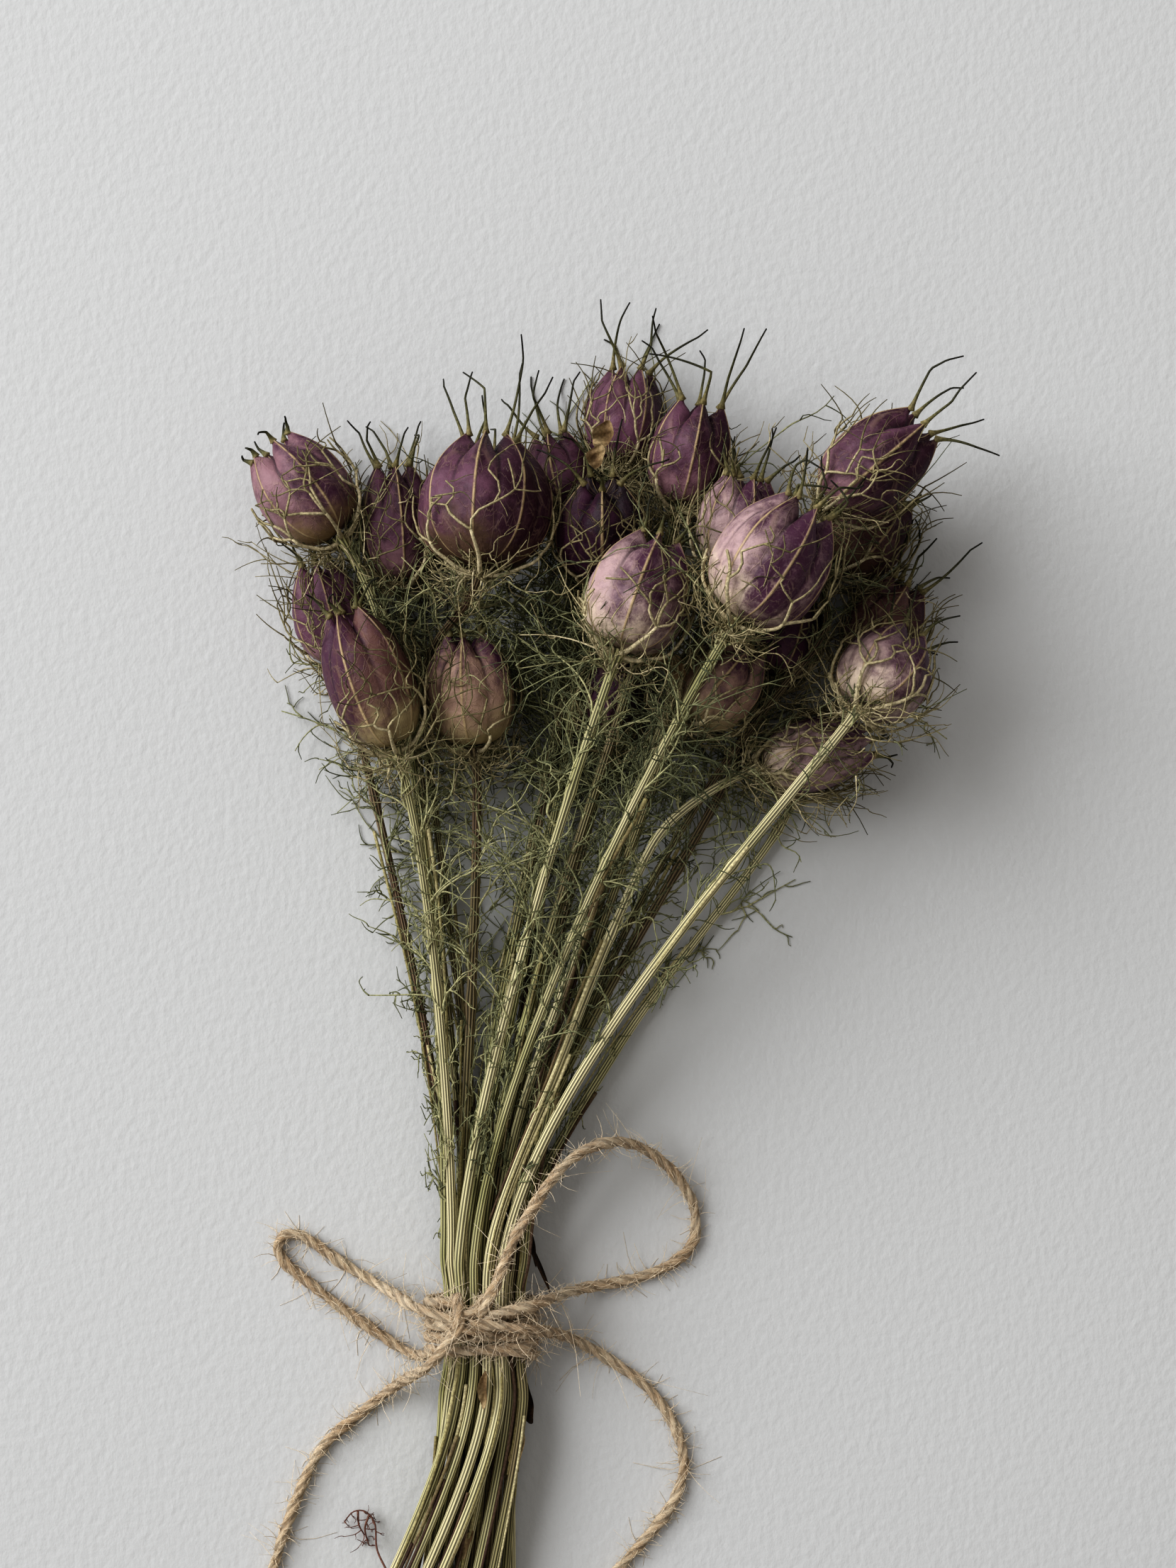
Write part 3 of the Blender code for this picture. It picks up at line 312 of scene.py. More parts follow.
def above_skin(pod, height, angle, lift):
    """Points that stand lift above the pod's outline, along the normal of the ellipsoid that holds it."""
    along, ring = pod_axes(pod)[2], directions_round(pod, angle)
    radius = pod.width / 2 * belly(pod, height)
    rise = pod.length * (height - 0.5)
    normal = unit(
        ring * (radius / (pod.width / 2) ** 2)[..., None] + along * (rise / (pod.length / 2) ** 2)[..., None]
    )
    skin = np.array(pod.middle) + ring * radius[..., None] + along * rise[..., None]
    return skin + normal * np.asarray(lift)[..., None]


def keep_out(points, room):
    """Moves points straight out of the pods' ellipsoids, and up off the table, to leave room round them."""
    points = points.copy()
    for pod in PODS:
        along = pod_axes(pod)[2]
        offset = points - np.array(pod.middle)
        rise = offset @ along
        out = offset - rise[..., None] * along
        away = np.linalg.norm(out, axis=-1)
        stretch = np.sqrt((away / (pod.width / 2 + room)) ** 2 + (rise / (pod.length / 2 + room)) ** 2)
        push = np.where(stretch < 1.0, 1.0 / np.maximum(stretch, 0.2), 1.0)
        points = np.array(pod.middle) + offset * push[..., None]
    return raised(points, THREAD_FLOOR)


def off_stems(points, lines, room):
    """Moves points out of the stems: where one lies nearer a stem's middle line, level with it along Y,
    than its radius and the room, it moves straight away from that line. Then brings those above the top
    of the pile down towards it, by a tanh curve."""
    points = points.copy()
    for line in lines:
        y = points[..., 1]
        middle = np.stack([np.interp(y, line[::-1, 1], line[::-1, k]) for k in (0, 2)], axis=-1)
        offset = points[..., [0, 2]] - middle
        away = np.maximum(np.linalg.norm(offset, axis=-1), 0.05)
        short = np.where((y < line[0, 1]) & (y > line[-1, 1]), stem_radius(y) + room - away, 0.0)
        points[..., [0, 2]] += offset * (np.maximum(short, 0.0) / away)[..., None]
    high = np.maximum(points[..., 2] - PILE_TOP, 0.0)
    points[..., 2] += 10.0 * np.tanh(high / PILE_EASE) - high
    return raised(points, THREAD_FLOOR)


def off_faces(paths, rng, share):
    """Which threads to keep: all but a share of those with their middles over a capsule's upper face."""
    middle, over = paths.mean(axis=1), np.zeros(len(paths), bool)
    for pod in PODS:
        along = pod_axes(pod)[2]
        offset = middle - np.array(pod.middle)
        rise = offset @ along
        side = np.linalg.norm((offset - rise[:, None] * along)[:, :2], axis=1)
        over |= (np.hypot(side / (pod.width / 2), rise / (pod.length / 2)) < 0.9) & (offset[:, 2] > 0.0)
    return ~over | (rng.uniform(size=len(paths)) > share)


# The stems' paths, by the same rules as the solids


def assign_slots():
    """Each stem's place in the tie: the lowest pods in the lowest row, each row sorted by bearing."""
    pitch = 2 * STEM_RADIUS_LOW + PACK_GAP
    low_to_high = sorted(range(len(PODS)), key=lambda i: pod_base(PODS[i])[2] + TIE_LIFTS.get(PODS[i].name, 0.0))
    chosen, first = {}, 0
    for row, count in enumerate(ROW_COUNTS):
        members = low_to_high[first:first + count]
        bases = {i: pod_base(PODS[i]) - TIE for i in members}
        members.sort(key=lambda i: math.atan2(bases[i][0], bases[i][1]))
        rise = (row - (len(ROW_COUNTS) - 1) / 2) * pitch * math.sin(math.pi / 3)
        for place, i in enumerate(members):
            across = (place - (count - 1) / 2 + ROW_SHIFTS[row]) * pitch
            chosen[i] = (TIE[0] + across, TIE[2] + rise, row)
        first += count
    return chosen


def hermite(start, start_pull, end, end_pull, count):
    """Points along the curve that leaves start along start_pull and reaches end along end_pull."""
    t = np.linspace(0.0, 1.0, count)[:, None]
    return (
        (2 * t ** 3 - 3 * t ** 2 + 1) * start + (t ** 3 - 2 * t ** 2 + t) * start_pull
        + (3 * t ** 2 - 2 * t ** 3) * end + (t ** 3 - t ** 2) * end_pull
    )


def guided(start, way, guides, end):
    """Curves from start, which is left along way, past each guide to end, which is reached along -Y.
    A guide is passed in the direction from the point before it to the point after it."""
    stops = [start, *(np.array(guide) for guide in guides), end]
    ways = [way, *(unit(stops[k + 1] - stops[k - 1]) for k in range(1, len(stops) - 1)), np.array([0.0, -1.0, 0.0])]
    curves = []
    for k in range(len(stops) - 1):
        run = np.linalg.norm(stops[k + 1] - stops[k])
        curves.append(hermite(stops[k], ways[k] * run * 0.55, stops[k + 1], ways[k + 1] * run * 0.75, 120))
    return np.concatenate(curves)


def stem_radius(y):
    """Stems are thickest at their cut ends and thinnest under the pods."""
    return STEM_RADIUS_LOW - (STEM_RADIUS_LOW - STEM_RADIUS_TOP) * smooth_step((y - TIE[1] - 12.0) / 90.0)


def first_paths(levels):
    """Each stem as smooth curves from pod to tie to cut end, read where it crosses the levels."""
    chosen = assign_slots()
    across = np.full((len(PODS), len(levels), 2), np.nan)
    for i, pod in enumerate(PODS):
        slot_x, slot_z, row = chosen[i]
        base = pod_base(pod) - pod_axes(pod)[2] * (POD_TO_STEM_GAP + 0.6)
        top_of_tie = np.array([slot_x, TIE[1] + TIE_HALF_LENGTH + 3.0, slot_z])
        foot_of_tie = np.array([slot_x, TIE[1] - TIE_HALF_LENGTH - 3.0, slot_z])
        upper = guided(base, -pod_axes(pod)[2], GUIDES.get(pod.name, ()), top_of_tie)
        foot_x = TIE[0] + FOOT_SPREAD * (slot_x - TIE[0]) + FOOT_SHIFTS[row]
        foot = np.array([foot_x, STEM_END_Y - 3.0, 1.4 + 2.3 * row])
        fall = np.linalg.norm(foot - foot_of_tie)
        lower = hermite(foot_of_tie, np.array([0.0, -fall * 0.7, 0.0]), foot, (foot - foot_of_tie) * 0.9, 60)
        path = np.concatenate([upper, lower])
        path[:, 1] = np.minimum.accumulate(path[:, 1] - np.arange(len(path)) * 1e-6)
        for axis, column in ((0, 0), (2, 1)):
            across[i, :, column] = np.interp(-levels, -path[:, 1], path[:, axis])
        across[i, levels > base[1] - 1.0] = np.nan
    return across


def push_from_pods(across, levels, radii):
    """Moves each stem's points sideways and up or down, out of the pods that it passes."""
    for k, pod in enumerate(PODS):
        along = pod_axes(pod)[2]
        half = max(pod.length - pod.width, 0.0) / 2
        spots = np.stack([across[..., 0], np.broadcast_to(levels, across.shape[:2]), across[..., 1]], axis=-1)
        offset = spots - np.array(pod.middle)
        rise = np.clip(offset @ along, -half, half)
        away = offset - rise[..., None] * along
        distance = np.linalg.norm(away, axis=-1)
        short = np.nan_to_num(pod.width / 2 + radii + 1.1 - distance, nan=0.0)
        flat = away[..., [0, 2]]
        flat = flat / np.maximum(np.linalg.norm(flat, axis=-1, keepdims=True), 1e-6)
        step = np.where(short > 0, short, 0.0)[..., None] * np.nan_to_num(flat)
        step[k] = 0.0
        across += step * 0.5


def push_apart(across, radii, room, share):
    """Moves stems apart wherever two come nearer than their radii and the room between them."""
    slope = np.zeros(across.shape[:2])
    slope[:, 1:-1] = np.abs(across[:, 2:, 0] - across[:, :-2, 0]) / (2 * SLICE)
    wide = radii * np.sqrt(1.0 + np.clip(np.nan_to_num(slope), 0.0, 1.2) ** 2)
    for i in range(len(across)):
        gap = across[i] - across
        distance = np.linalg.norm(gap, axis=-1)
        short = np.nan_to_num(wide[i] + wide + room - distance, nan=0.0)
        short[i] = 0.0
        short = np.where(short > 0, short, 0.0)
        step = np.nan_to_num(gap / np.maximum(distance, 1e-6)[..., None]) * short[..., None] * share
        across[i] += step.sum(axis=0)


def stem_lines():
    """Each stem's middle line from just under its pod to its cut end, bent clear of the others, of the
    pods and of the table. What is smoothed is its shift from its first path, so that its curve is kept."""
    top = max(pod_base(pod)[1] for pod in PODS)
    levels = np.arange(math.floor(top), STEM_END_Y - 4.0, -SLICE)
    first = first_paths(levels)
    across = first.copy()
    radii = np.broadcast_to(stem_radius(levels), across.shape[:2])
    held = np.abs(levels - TIE[1]) <= TIE_HALF_LENGTH + 2.5
    room = np.where(np.abs(levels - TIE[1]) < 12.0, PACK_GAP, 0.9)
    known = ~np.isnan(first[..., 0])
    start = known.argmax(axis=1)
    for turn in range(260):
        shift = np.nan_to_num(across - first)
        if turn < 240:
            shift[:, 1:-1] += 0.25 * (shift[:, 2:] + shift[:, :-2] - 2 * shift[:, 1:-1])
        for i, k in enumerate(start):
            shift[i, k:k + 2] = 0.0
        shift[:, -1] = shift[:, -2]
        across = np.where(known[..., None], first + shift, np.nan)
        push_apart(across, radii, room, 0.4)
        push_from_pods(across, levels, radii)
        floor = radii + TABLE_GAP + 0.1
        across[..., 1] = np.where(across[..., 1] < floor, floor, across[..., 1])
        across[:, held] = first[:, held]
    ends = np.random.default_rng(SEED).uniform(0.0, 8.0, len(PODS))
    lines = []
    for i, pod in enumerate(PODS):
        kept = known[i] & (levels > STEM_END_Y - 4.0 + ends[i])
        spots = np.stack([across[i, kept, 0], levels[kept], across[i, kept, 1]], axis=1)
        under = pod_base(pod) - pod_axes(pod)[2] * POD_TO_STEM_GAP
        lines.append(even(np.concatenate([[under], spots]), 1.6, 2))
    return lines


def even(points, step, smoothing=0):
    """Points about step apart along a line of straight runs, after evening its corners out."""
    points = np.asarray(points, float)
    lengths = run_lengths(points)
    at = np.linspace(0.0, lengths[-1], max(3, round(lengths[-1] / step) + 1))
    spots = np.stack([np.interp(at, lengths, points[:, k]) for k in range(3)], axis=1)
    for _ in range(smoothing):
        spots[1:-1] = 0.25 * (spots[:-2] + 2 * spots[1:-1] + spots[2:])
    return spots


def smooth_route(points, step):
    """Points step apart on the curve through all of the points, each stretch a cubic whose slope at a
    point is half the run between its two neighbours."""
    points = np.asarray(points, float)
    padded = np.concatenate([[2 * points[0] - points[1]], points, [2 * points[-1] - points[-2]]])
    t = np.linspace(0.0, 1.0, 12, endpoint=False)[None, :, None]
    p0, p1, p2, p3 = (padded[k:len(padded) - 3 + k, None] for k in range(4))
    fine = 0.5 * (
        2 * p1 + (p2 - p0) * t + (2 * p0 - 5 * p1 + 4 * p2 - p3) * t ** 2
        + (3 * p1 - p0 - 3 * p2 + p3) * t ** 3
    )
    return even(np.concatenate([fine.reshape(-1, 3), points[-1:]]), step)


# Arrays into meshes


class Shell:
    """Surfaces collected as arrays and made into one mesh at the end, in metres and in the frame."""

    def __init__(self):
        self.count = 0
        self.points, self.faces, self.uvs, self.paints = [], [], [], []
        self.values = []

    def _add(self, points, faces, uvs, paint, values):
        self.points.append(points)
        for face, uv in zip(faces, uvs):
            self.faces.append(face + self.count)
            self.uvs.append(uv)
            self.paints.append(np.full(len(face), paint))
        self.values.append(values)
        self.count += len(points)

    def grid(self, points, u, v, poles, value, paint=0, lean=0.0):
        """A surface of rows by columns that closes on itself round each row, and on a pole at each end.
        u has one more entry than there are columns, v has one for each row, and value one for each point.
        lean is taken from u row by row."""
        rows, columns = points.shape[:2]
        index = np.arange(rows * columns).reshape(rows, columns)
        after = np.roll(index, -1, axis=1)
        quads = np.stack([index[:-1], after[:-1], after[1:], index[1:]], axis=-1).reshape(-1, 4)
        v = np.broadcast_to(v[:, None], (rows, columns + 1))
        lattice = np.stack([u[None] - np.broadcast_to(lean, rows)[:, None], v], axis=-1)
        quad_uv = np.stack([lattice[:-1, :-1], lattice[:-1, 1:], lattice[1:, 1:], lattice[1:, :-1]], 2)
        first, last = rows * columns, rows * columns + 1
        start = np.stack([np.full(columns, first), after[0], index[0]], axis=-1)
        end = np.stack([np.full(columns, last), index[-1], after[-1]], axis=-1)
        tip, left, right = (lattice[:, :-1] + lattice[:, 1:]) / 2, lattice[:, :-1], lattice[:, 1:]
        start_uv = np.stack([tip[0], right[0], left[0]], 1)
        end_uv = np.stack([tip[-1], left[-1], right[-1]], 1)
        flat = np.concatenate([points.reshape(-1, 3), np.asarray(poles)])
        triangles = np.concatenate([start, end])
        corners = flat[np.concatenate([quads[:, :3], triangles])]
        sides = np.cross(corners[:, 1] - corners[:, 0], corners[:, 2] - corners[:, 0])
        inside = ((corners.mean(axis=1) - flat.mean(axis=0)) * sides).sum() < 0
        quad_uv = quad_uv.reshape(-1, 4, 2)
        triangle_uv = np.concatenate([start_uv, end_uv])
        if inside:
            quads, triangles = quads[:, ::-1], triangles[:, ::-1]
            quad_uv, triangle_uv = quad_uv[:, ::-1], triangle_uv[:, ::-1]
        value = np.concatenate([value.reshape(-1), [value[0].mean(), value[-1].mean()]])
        self._add(flat, [quads, triangles], [quad_uv, triangle_uv], paint, value)

    def threads(self, paths, radii, sides, ages, paint=0):
        """Tubes along many paths at once. Each ring stands square to its path, with its first point turned
        away from one direction that is square to the whole thread, and each end closes on a pole."""
        if not len(paths):
            return
        count, steps = paths.shape[:2]
        radii = np.broadcast_to(radii, (count, steps))
        ages = np.broadcast_to(ages, (count, steps))
        tangent = unit(np.gradient(paths, axis=1))
        chord = unit(paths[:, -1] - paths[:, 0] + 1e-6)
        least = np.eye(3)[np.abs(chord).argmin(axis=1)]
        reference = unit(np.cross(chord, least))[:, None]
        side = unit(np.cross(tangent, reference))
        other = np.cross(tangent, side)
        turn = np.arange(sides) * 2 * math.pi / sides
        ring = side[:, :, None] * np.cos(turn)[:, None] + other[:, :, None] * np.sin(turn)[:, None]
        rings = paths[:, :, None] + ring * radii[:, :, None, None]
        tips = np.stack([paths[:, 0] - tangent[:, 0] * radii[:, :1] * 0.4,
                         paths[:, -1] + tangent[:, -1] * radii[:, -1:] * 0.8], 1)
        block = steps * sides + 2
        points = np.concatenate([rings.reshape(count, -1, 3), tips], axis=1)
        base = (np.arange(count) * block)[:, None, None]
        index = base + np.arange(steps * sides).reshape(steps, sides)
        after = np.roll(index, -1, axis=2)
        quads = np.stack([index[:, :-1], after[:, :-1], after[:, 1:], index[:, 1:]], -1).reshape(-1, 4)
        first = np.broadcast_to(base[:, 0] + block - 2, (count, sides))
        start = np.stack([first, after[:, 0], index[:, 0]], -1)
        end = np.stack([first + 1, index[:, -1], after[:, -1]], -1)
        triangles = np.concatenate([start.reshape(-1, 3), end.reshape(-1, 3)])
        around = np.broadcast_to(np.arange(sides) / sides, (count, steps, sides))
        vertex_uv = np.stack([around, np.broadcast_to(ages[:, :, None], around.shape)], -1).reshape(count, -1, 2)
        tip_uv = np.stack([np.zeros((count, 2)), ages[:, [0, -1]]], -1)
        vertex_uv = np.concatenate([vertex_uv, tip_uv], 1).reshape(-1, 2)
        value = np.concatenate([np.repeat(ages, sides, axis=1), ages[:, [0, -1]]], 1).reshape(-1)
        self._add(points.reshape(-1, 3), [quads, triangles], [vertex_uv[quads], vertex_uv[triangles]], paint, value)

    def make(self, name, materials, slot, *nodes):
        """Puts everything collected into one mesh, with its UV map and its value as an attribute."""
        mesh = bpy.data.meshes.new(name)
        points = (np.concatenate(self.points) + BENCH_TO_BOX) * MM
        loops = np.concatenate([face.reshape(-1) for face in self.faces])
        sizes = np.concatenate([np.full(len(face), face.shape[1]) for face in self.faces])
        mesh.vertices.add(len(points))
        mesh.vertices.foreach_set("co", points.reshape(-1))
        mesh.loops.add(len(loops))
        mesh.loops.foreach_set("vertex_index", loops)
        mesh.polygons.add(len(sizes))
        mesh.polygons.foreach_set("loop_start", np.concatenate([[0], np.cumsum(sizes)[:-1]]))
        mesh.polygons.foreach_set("material_index", np.concatenate(self.paints))
        mesh.update(calc_edges=True)
        mesh.polygons.foreach_set("use_smooth", np.ones(len(sizes), bool))
        layer = mesh.uv_layers.new(name="UVMap")
        layer.data.foreach_set("uv", np.concatenate([uv.reshape(-1) for uv in self.uvs]))
        attribute = mesh.attributes.new("value", "FLOAT", "POINT")
        attribute.data.foreach_set("value", np.concatenate(self.values))
        for material in materials:
            mesh.materials.append(material)
        piece = bpy.data.objects.new(name, mesh)
        bpy.context.scene.collection.objects.link(piece)
        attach(piece, "root")
        if nodes:
            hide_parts(*nodes)
        return piece


def sweep(path, radii, reference):
    """A ring round each point of the path. The ring's zero is square to the path and to reference, and
    radii gives the distance of each of its points, row by row."""
    tangent = unit(np.gradient(path, axis=0))
    side = unit(np.cross(tangent, reference))
    other = np.cross(tangent, side)
    turn = np.arange(radii.shape[1]) * 2 * math.pi / radii.shape[1]
    ring = side[:, None] * np.cos(turn)[:, None] + other[:, None] * np.sin(turn)[:, None]
    return path[:, None] + ring * radii[..., None]


# Procedural materials


class Paint:
    """One material being put together. Each method adds a node and gives back its output."""

    def __init__(self, name, roughness, specular=0.3, sheen=0.0):
        self.material = bpy.data.materials.new(name)
        self.material.use_nodes = True
        self.tree = self.material.node_tree
        self.shader = self.tree.nodes["Principled BSDF"]
        self.shader.inputs["Roughness"].default_value = roughness
        self.shader.inputs["Specular IOR Level"].default_value = specular
        self.shader.inputs["Sheen Weight"].default_value = sheen
        self.columns = 0

    def add(self, kind, inputs=(), output=0, **settings):
        """A node with its settings, and its inputs by number or name, each a value or another output."""
        node = self.tree.nodes.new(kind)
        self.columns += 1
        node.location = (-220 * (self.columns % 8) - 300, -260 * (self.columns // 8) + 600)
        for key, value in settings.items():
            setattr(node, key, value)
        for key, value in dict(inputs).items():
            if isinstance(value, bpy.types.NodeSocket):
                self.tree.links.new(value, node.inputs[key])
            else:
                node.inputs[key].default_value = value
        return node.outputs[output]

    def place(self):
        return self.add("ShaderNodeTexCoord", output="Object")

    def value(self):
        return self.add("ShaderNodeAttribute", output="Fac", attribute_name="value")

    def uv(self):
        """The UV map's two numbers."""
        x = self.add("ShaderNodeSeparateXYZ", {0: self.add("ShaderNodeUVMap", uv_map="UVMap")}, "X")
        return x, x.node.outputs["Y"]

    def sums(self, operation, a, b=0.0, c=0.0, clamp=False):
        return self.add("ShaderNodeMath", {0: a, 1: b, 2: c}, operation=operation, use_clamp=clamp)

    def plus(self, a, b):
        return self.sums("ADD", a, b)

    def times(self, a, b):
        return self.sums("MULTIPLY", a, b)

    def sway(self, noise, size):
        """Noise as a number that sways evenly to both sides of 0, by half the size."""
        return self.sums("MULTIPLY_ADD", noise, size, -size / 2)

    def range(self, value, low, high, to_low=0.0, to_high=1.0):
        """value taken from low..high to to_low..to_high, smoothly, and held there outside."""
        inputs = {0: value, 1: low, 2: high, 3: to_low, 4: to_high}
        return self.add("ShaderNodeMapRange", inputs, interpolation_type="SMOOTHSTEP")

    def noise(self, vector, scale, detail=3.0, roughness=0.5):
        inputs = {"Vector": vector, "Scale": scale, "Detail": detail, "Roughness": roughness}
        return self.add("ShaderNodeTexNoise", inputs)

    def combine(self, x, y, z=0.0):
        return self.add("ShaderNodeCombineXYZ", {0: x, 1: y, 2: z})

    def mix(self, factor, a, b):
        """Colour a where factor is 0 and colour b where it is 1."""
        a, b = (value if isinstance(value, bpy.types.NodeSocket) else (*value, 1.0) for value in (a, b))
        return self.add("ShaderNodeMix", {0: factor, 6: a, 7: b}, 2, data_type="RGBA")

    def ramp(self, factor, stops):
        """A run of colours, each at its own place from 0 to 1."""
        output = self.add("ShaderNodeValToRGB", {0: factor})
        elements = output.node.color_ramp.elements
        while len(elements) < len(stops):
            elements.new(0.5)
        for element, (position, colour) in zip(elements, stops):
            element.position = position
            element.color = (*colour, 1.0)
        return output

    def bump(self, height, strength, distance):
        normal = self.add("ShaderNodeBump", {"Height": height, "Strength": strength, "Distance": distance})
        self.tree.links.new(normal, self.shader.inputs["Normal"])

    def done(self, colour):
        self.tree.links.new(colour, self.shader.inputs["Base Color"])
        return self.material


def capsule_skin(pod, settings):
    """Papery skin: its foot and body colours under a mottled cover of the deep one, thinned on the lit side as
    a painted highlight, a straw line on each crest, a dark line of painted shade in each groove, and faint
    veins that slant up from the crests."""
    paint = Paint("capsule_skin_" + pod.name, settings.roughness, 0.3)
    u, v = paint.uv()
    place = paint.place()
    across = paint.times(paint.sums("ABSOLUTE", paint.sums("SUBTRACT", paint.sums("FRACT", u), 0.5)), 2.0)
    cloud = paint.noise(place, 190.0, 3.0, 0.6)
    mottle = paint.noise(place, 620.0, 4.0, 0.65)
    speck = paint.noise(place, 2300.0, 2.0, 0.6)
    streak = paint.noise(paint.combine(paint.times(u, 7.0), paint.times(v, 2.5)), 1.0, 3.0)
    low = paint.plus(v, paint.sway(cloud, 0.6))
    colour = paint.mix(paint.range(low, 0.05, 0.42), pod.foot, pod.body)
    # The value attribute brings in the painted highlight on the pod's lit side and the painted shade on its far side,
    # under the noise added here.
    cover_and_painted_light = paint.value()
    for noise, size in ((cloud, 1.3), (mottle, 0.75), (speck, 0.35), (streak, 0.4)):
        cover_and_painted_light = paint.plus(cover_and_painted_light, paint.sway(noise, size))
    beside = paint.times(paint.range(across, 0.04, 0.5, 0.3, 0.0), paint.range(v, 0.3, 0.9))
    colour = paint.mix(paint.range(paint.plus(cover_and_painted_light, beside), 0.05, 0.95), colour, pod.deep)
    rubbed = paint.times(paint.range(mottle, 0.5, 0.75), paint.range(speck, 0.35, 0.7, 0.0, 0.38))
    colour = paint.mix(rubbed, colour, blend(settings.bloom, pod.body, 0.6))
    # Painted shade: a dark line down each groove between the lobes, stronger towards the tip. The same mask also sinks
    # the groove in the bump.
    groove = paint.range(paint.sums("MULTIPLY_ADD", streak, 0.12, across), 0.9, 1.06, 0.0, 0.8)
    groove = paint.times(groove, paint.range(v, 0.3, 0.85, 0.25, 1.0))
    colour = paint.mix(groove, colour, shade(pod.deep, 0.35))
    warp = paint.sums("MULTIPLY_ADD", streak, 1.4, paint.times(across, -1.1))
    rung = paint.sums("SINE", paint.times(paint.sums("MULTIPLY_ADD", v, 9.0, warp), 2.0 * math.pi))
    net = paint.add("ShaderNodeTexVoronoi", {
        "Vector": paint.combine(paint.plus(paint.times(u, 3.2), streak),
                                paint.plus(paint.times(v, 5.0), streak)),
        "Scale": 1.0}, "Distance", feature="DISTANCE_TO_EDGE")
    vein = paint.sums("MAXIMUM", paint.range(net, 0.01, 0.05, 1.0, 0.0), paint.range(rung, 0.93, 1.0, 0.0, 0.8))
    vein = paint.times(paint.times(vein, settings.vein), paint.range(cloud, 0.35, 0.6))
    colour = paint.mix(vein, colour, blend(settings.seam, pod.body, 0.5))
    crest = paint.range(across, 0.015, settings.crest, 0.9, 0.0)
    worn = paint.range(mottle, 0.3, 0.5, 0.3, 1.0)
    colour = paint.mix(paint.times(crest, worn), colour, settings.seam)
    height = paint.sums("MULTIPLY_ADD", mottle, 1.1, paint.times(vein, 1.6))
    height = paint.plus(height, paint.sums("MULTIPLY_ADD", crest, 0.8, paint.times(groove, -0.8)))
    paint.bump(height, 0.55, 0.0004)
    return paint.done(colour)


def thread_paint(name, stops, roughness=0.7):
    """A dry thread: its colour runs from its root to its tip, and is cloudier and darker here and there."""
    paint = Paint(name, roughness, 0.25)
    place = paint.place()
    cloud = paint.noise(place, 160.0, 2.0)
    fine = paint.noise(place, 1800.0, 2.0)
    age = paint.plus(paint.value(), paint.sway(cloud, 0.5))
    colour = paint.ramp(age, stops)
    dark = paint.range(fine, 0.35, 0.7, 0.45, 0.0)
    colour = paint.mix(dark, colour, shade(stops[-1][1], 0.35))
    paint.bump(fine, 0.4, 0.0002)
    return paint.done(colour)


def stem_paint(settings):
    """Ribbed stalk: pale ribs and dark lines that run its whole length, greener or browner by its value."""
    paint = Paint("ribbed_stalk", 0.6, 0.3)
    u, v = paint.uv()
    place = paint.place()
    wander = paint.noise(place, 60.0, 2.0)
    lines = paint.noise(paint.combine(paint.times(u, 19.0), paint.times(v, 0.02)), 1.0, 1.0)
    rib = paint.sums("COSINE", paint.times(u, settings.ribs * 2 * math.pi))
    height = paint.sums("MULTIPLY_ADD", rib, 0.42, lines)
    pale = paint.range(height, 0.25, 0.80)
    tone = paint.sums("ADD", paint.value(), paint.sway(wander, 0.7), clamp=True)
    rib_colour = paint.ramp(tone, ((0.0, settings.straw), (0.42, settings.green), (0.68, (0.38, 0.33, 0.18)),
                                   (1.0, settings.brown)))
    dark_colour = paint.ramp(tone, ((0.0, shade(settings.straw, 0.24)),
                                    (0.45, shade(settings.green, 0.18)),
                                    (1.0, shade(settings.brown, 0.22))))
    colour = paint.mix(pale, dark_colour, rib_colour)
    paint.bump(height, 0.6, 0.0003)
    return paint.done(colour)


def twine_paint(settings):
    """Jute: fine fibres that run along each ply, blond and brown, with painted shade down between the plies."""
    paint = Paint("jute", 0.92, 0.12, 0.25)
    u, v = paint.uv()
    turn = paint.times(u, 2.0 * math.pi)
    circle = paint.combine(paint.times(paint.sums("COSINE", turn), 3.2),
                           paint.times(paint.sums("SINE", turn), 3.2), paint.times(v, 0.33))
    fibre = paint.noise(circle, 2.6, 4.0, 0.7)
    cloud = paint.noise(paint.place(), 150.0, 2.0)
    tone = paint.plus(paint.times(fibre, 0.8), paint.times(cloud, 0.35))
    colour = paint.ramp(tone, ((0.38, settings.brown), (0.52, settings.tan), (0.66, settings.blond)))
    # Painted shade: darker where the value is low, down in the grooves between the plies.
    deep = paint.range(paint.value(), 0.0, 0.55, 0.4, 0.0)
    colour = paint.mix(deep, colour, shade(settings.brown, 0.4))
    paint.bump(fibre, 1.0, 0.0006)
    return paint.done(colour)


# What a user would change


def colour_property(name, description, default):
    return FloatVectorProperty(name=name, description=description, subtype="COLOR", size=3, min=0.0, max=1.0,
                               default=default)


class NigellaStage(PropertyGroup):
    camera_height: FloatProperty(name="Camera height", description="Height of the lens above the sheet",
                                 default=0.6, unit="LENGTH")
    lens: FloatProperty(name="Lens", description="Focal length of the camera", default=64.4)
    paper: colour_property("Paper", "Colour of the sheet that the bunch lies on", (0.605, 0.608, 0.613))
    key_energy: FloatProperty(name="Window light", description="Power of the large soft light", default=66.5)
    fill: FloatProperty(name="Fill", description="Strength of the even light from all round", default=0.24)


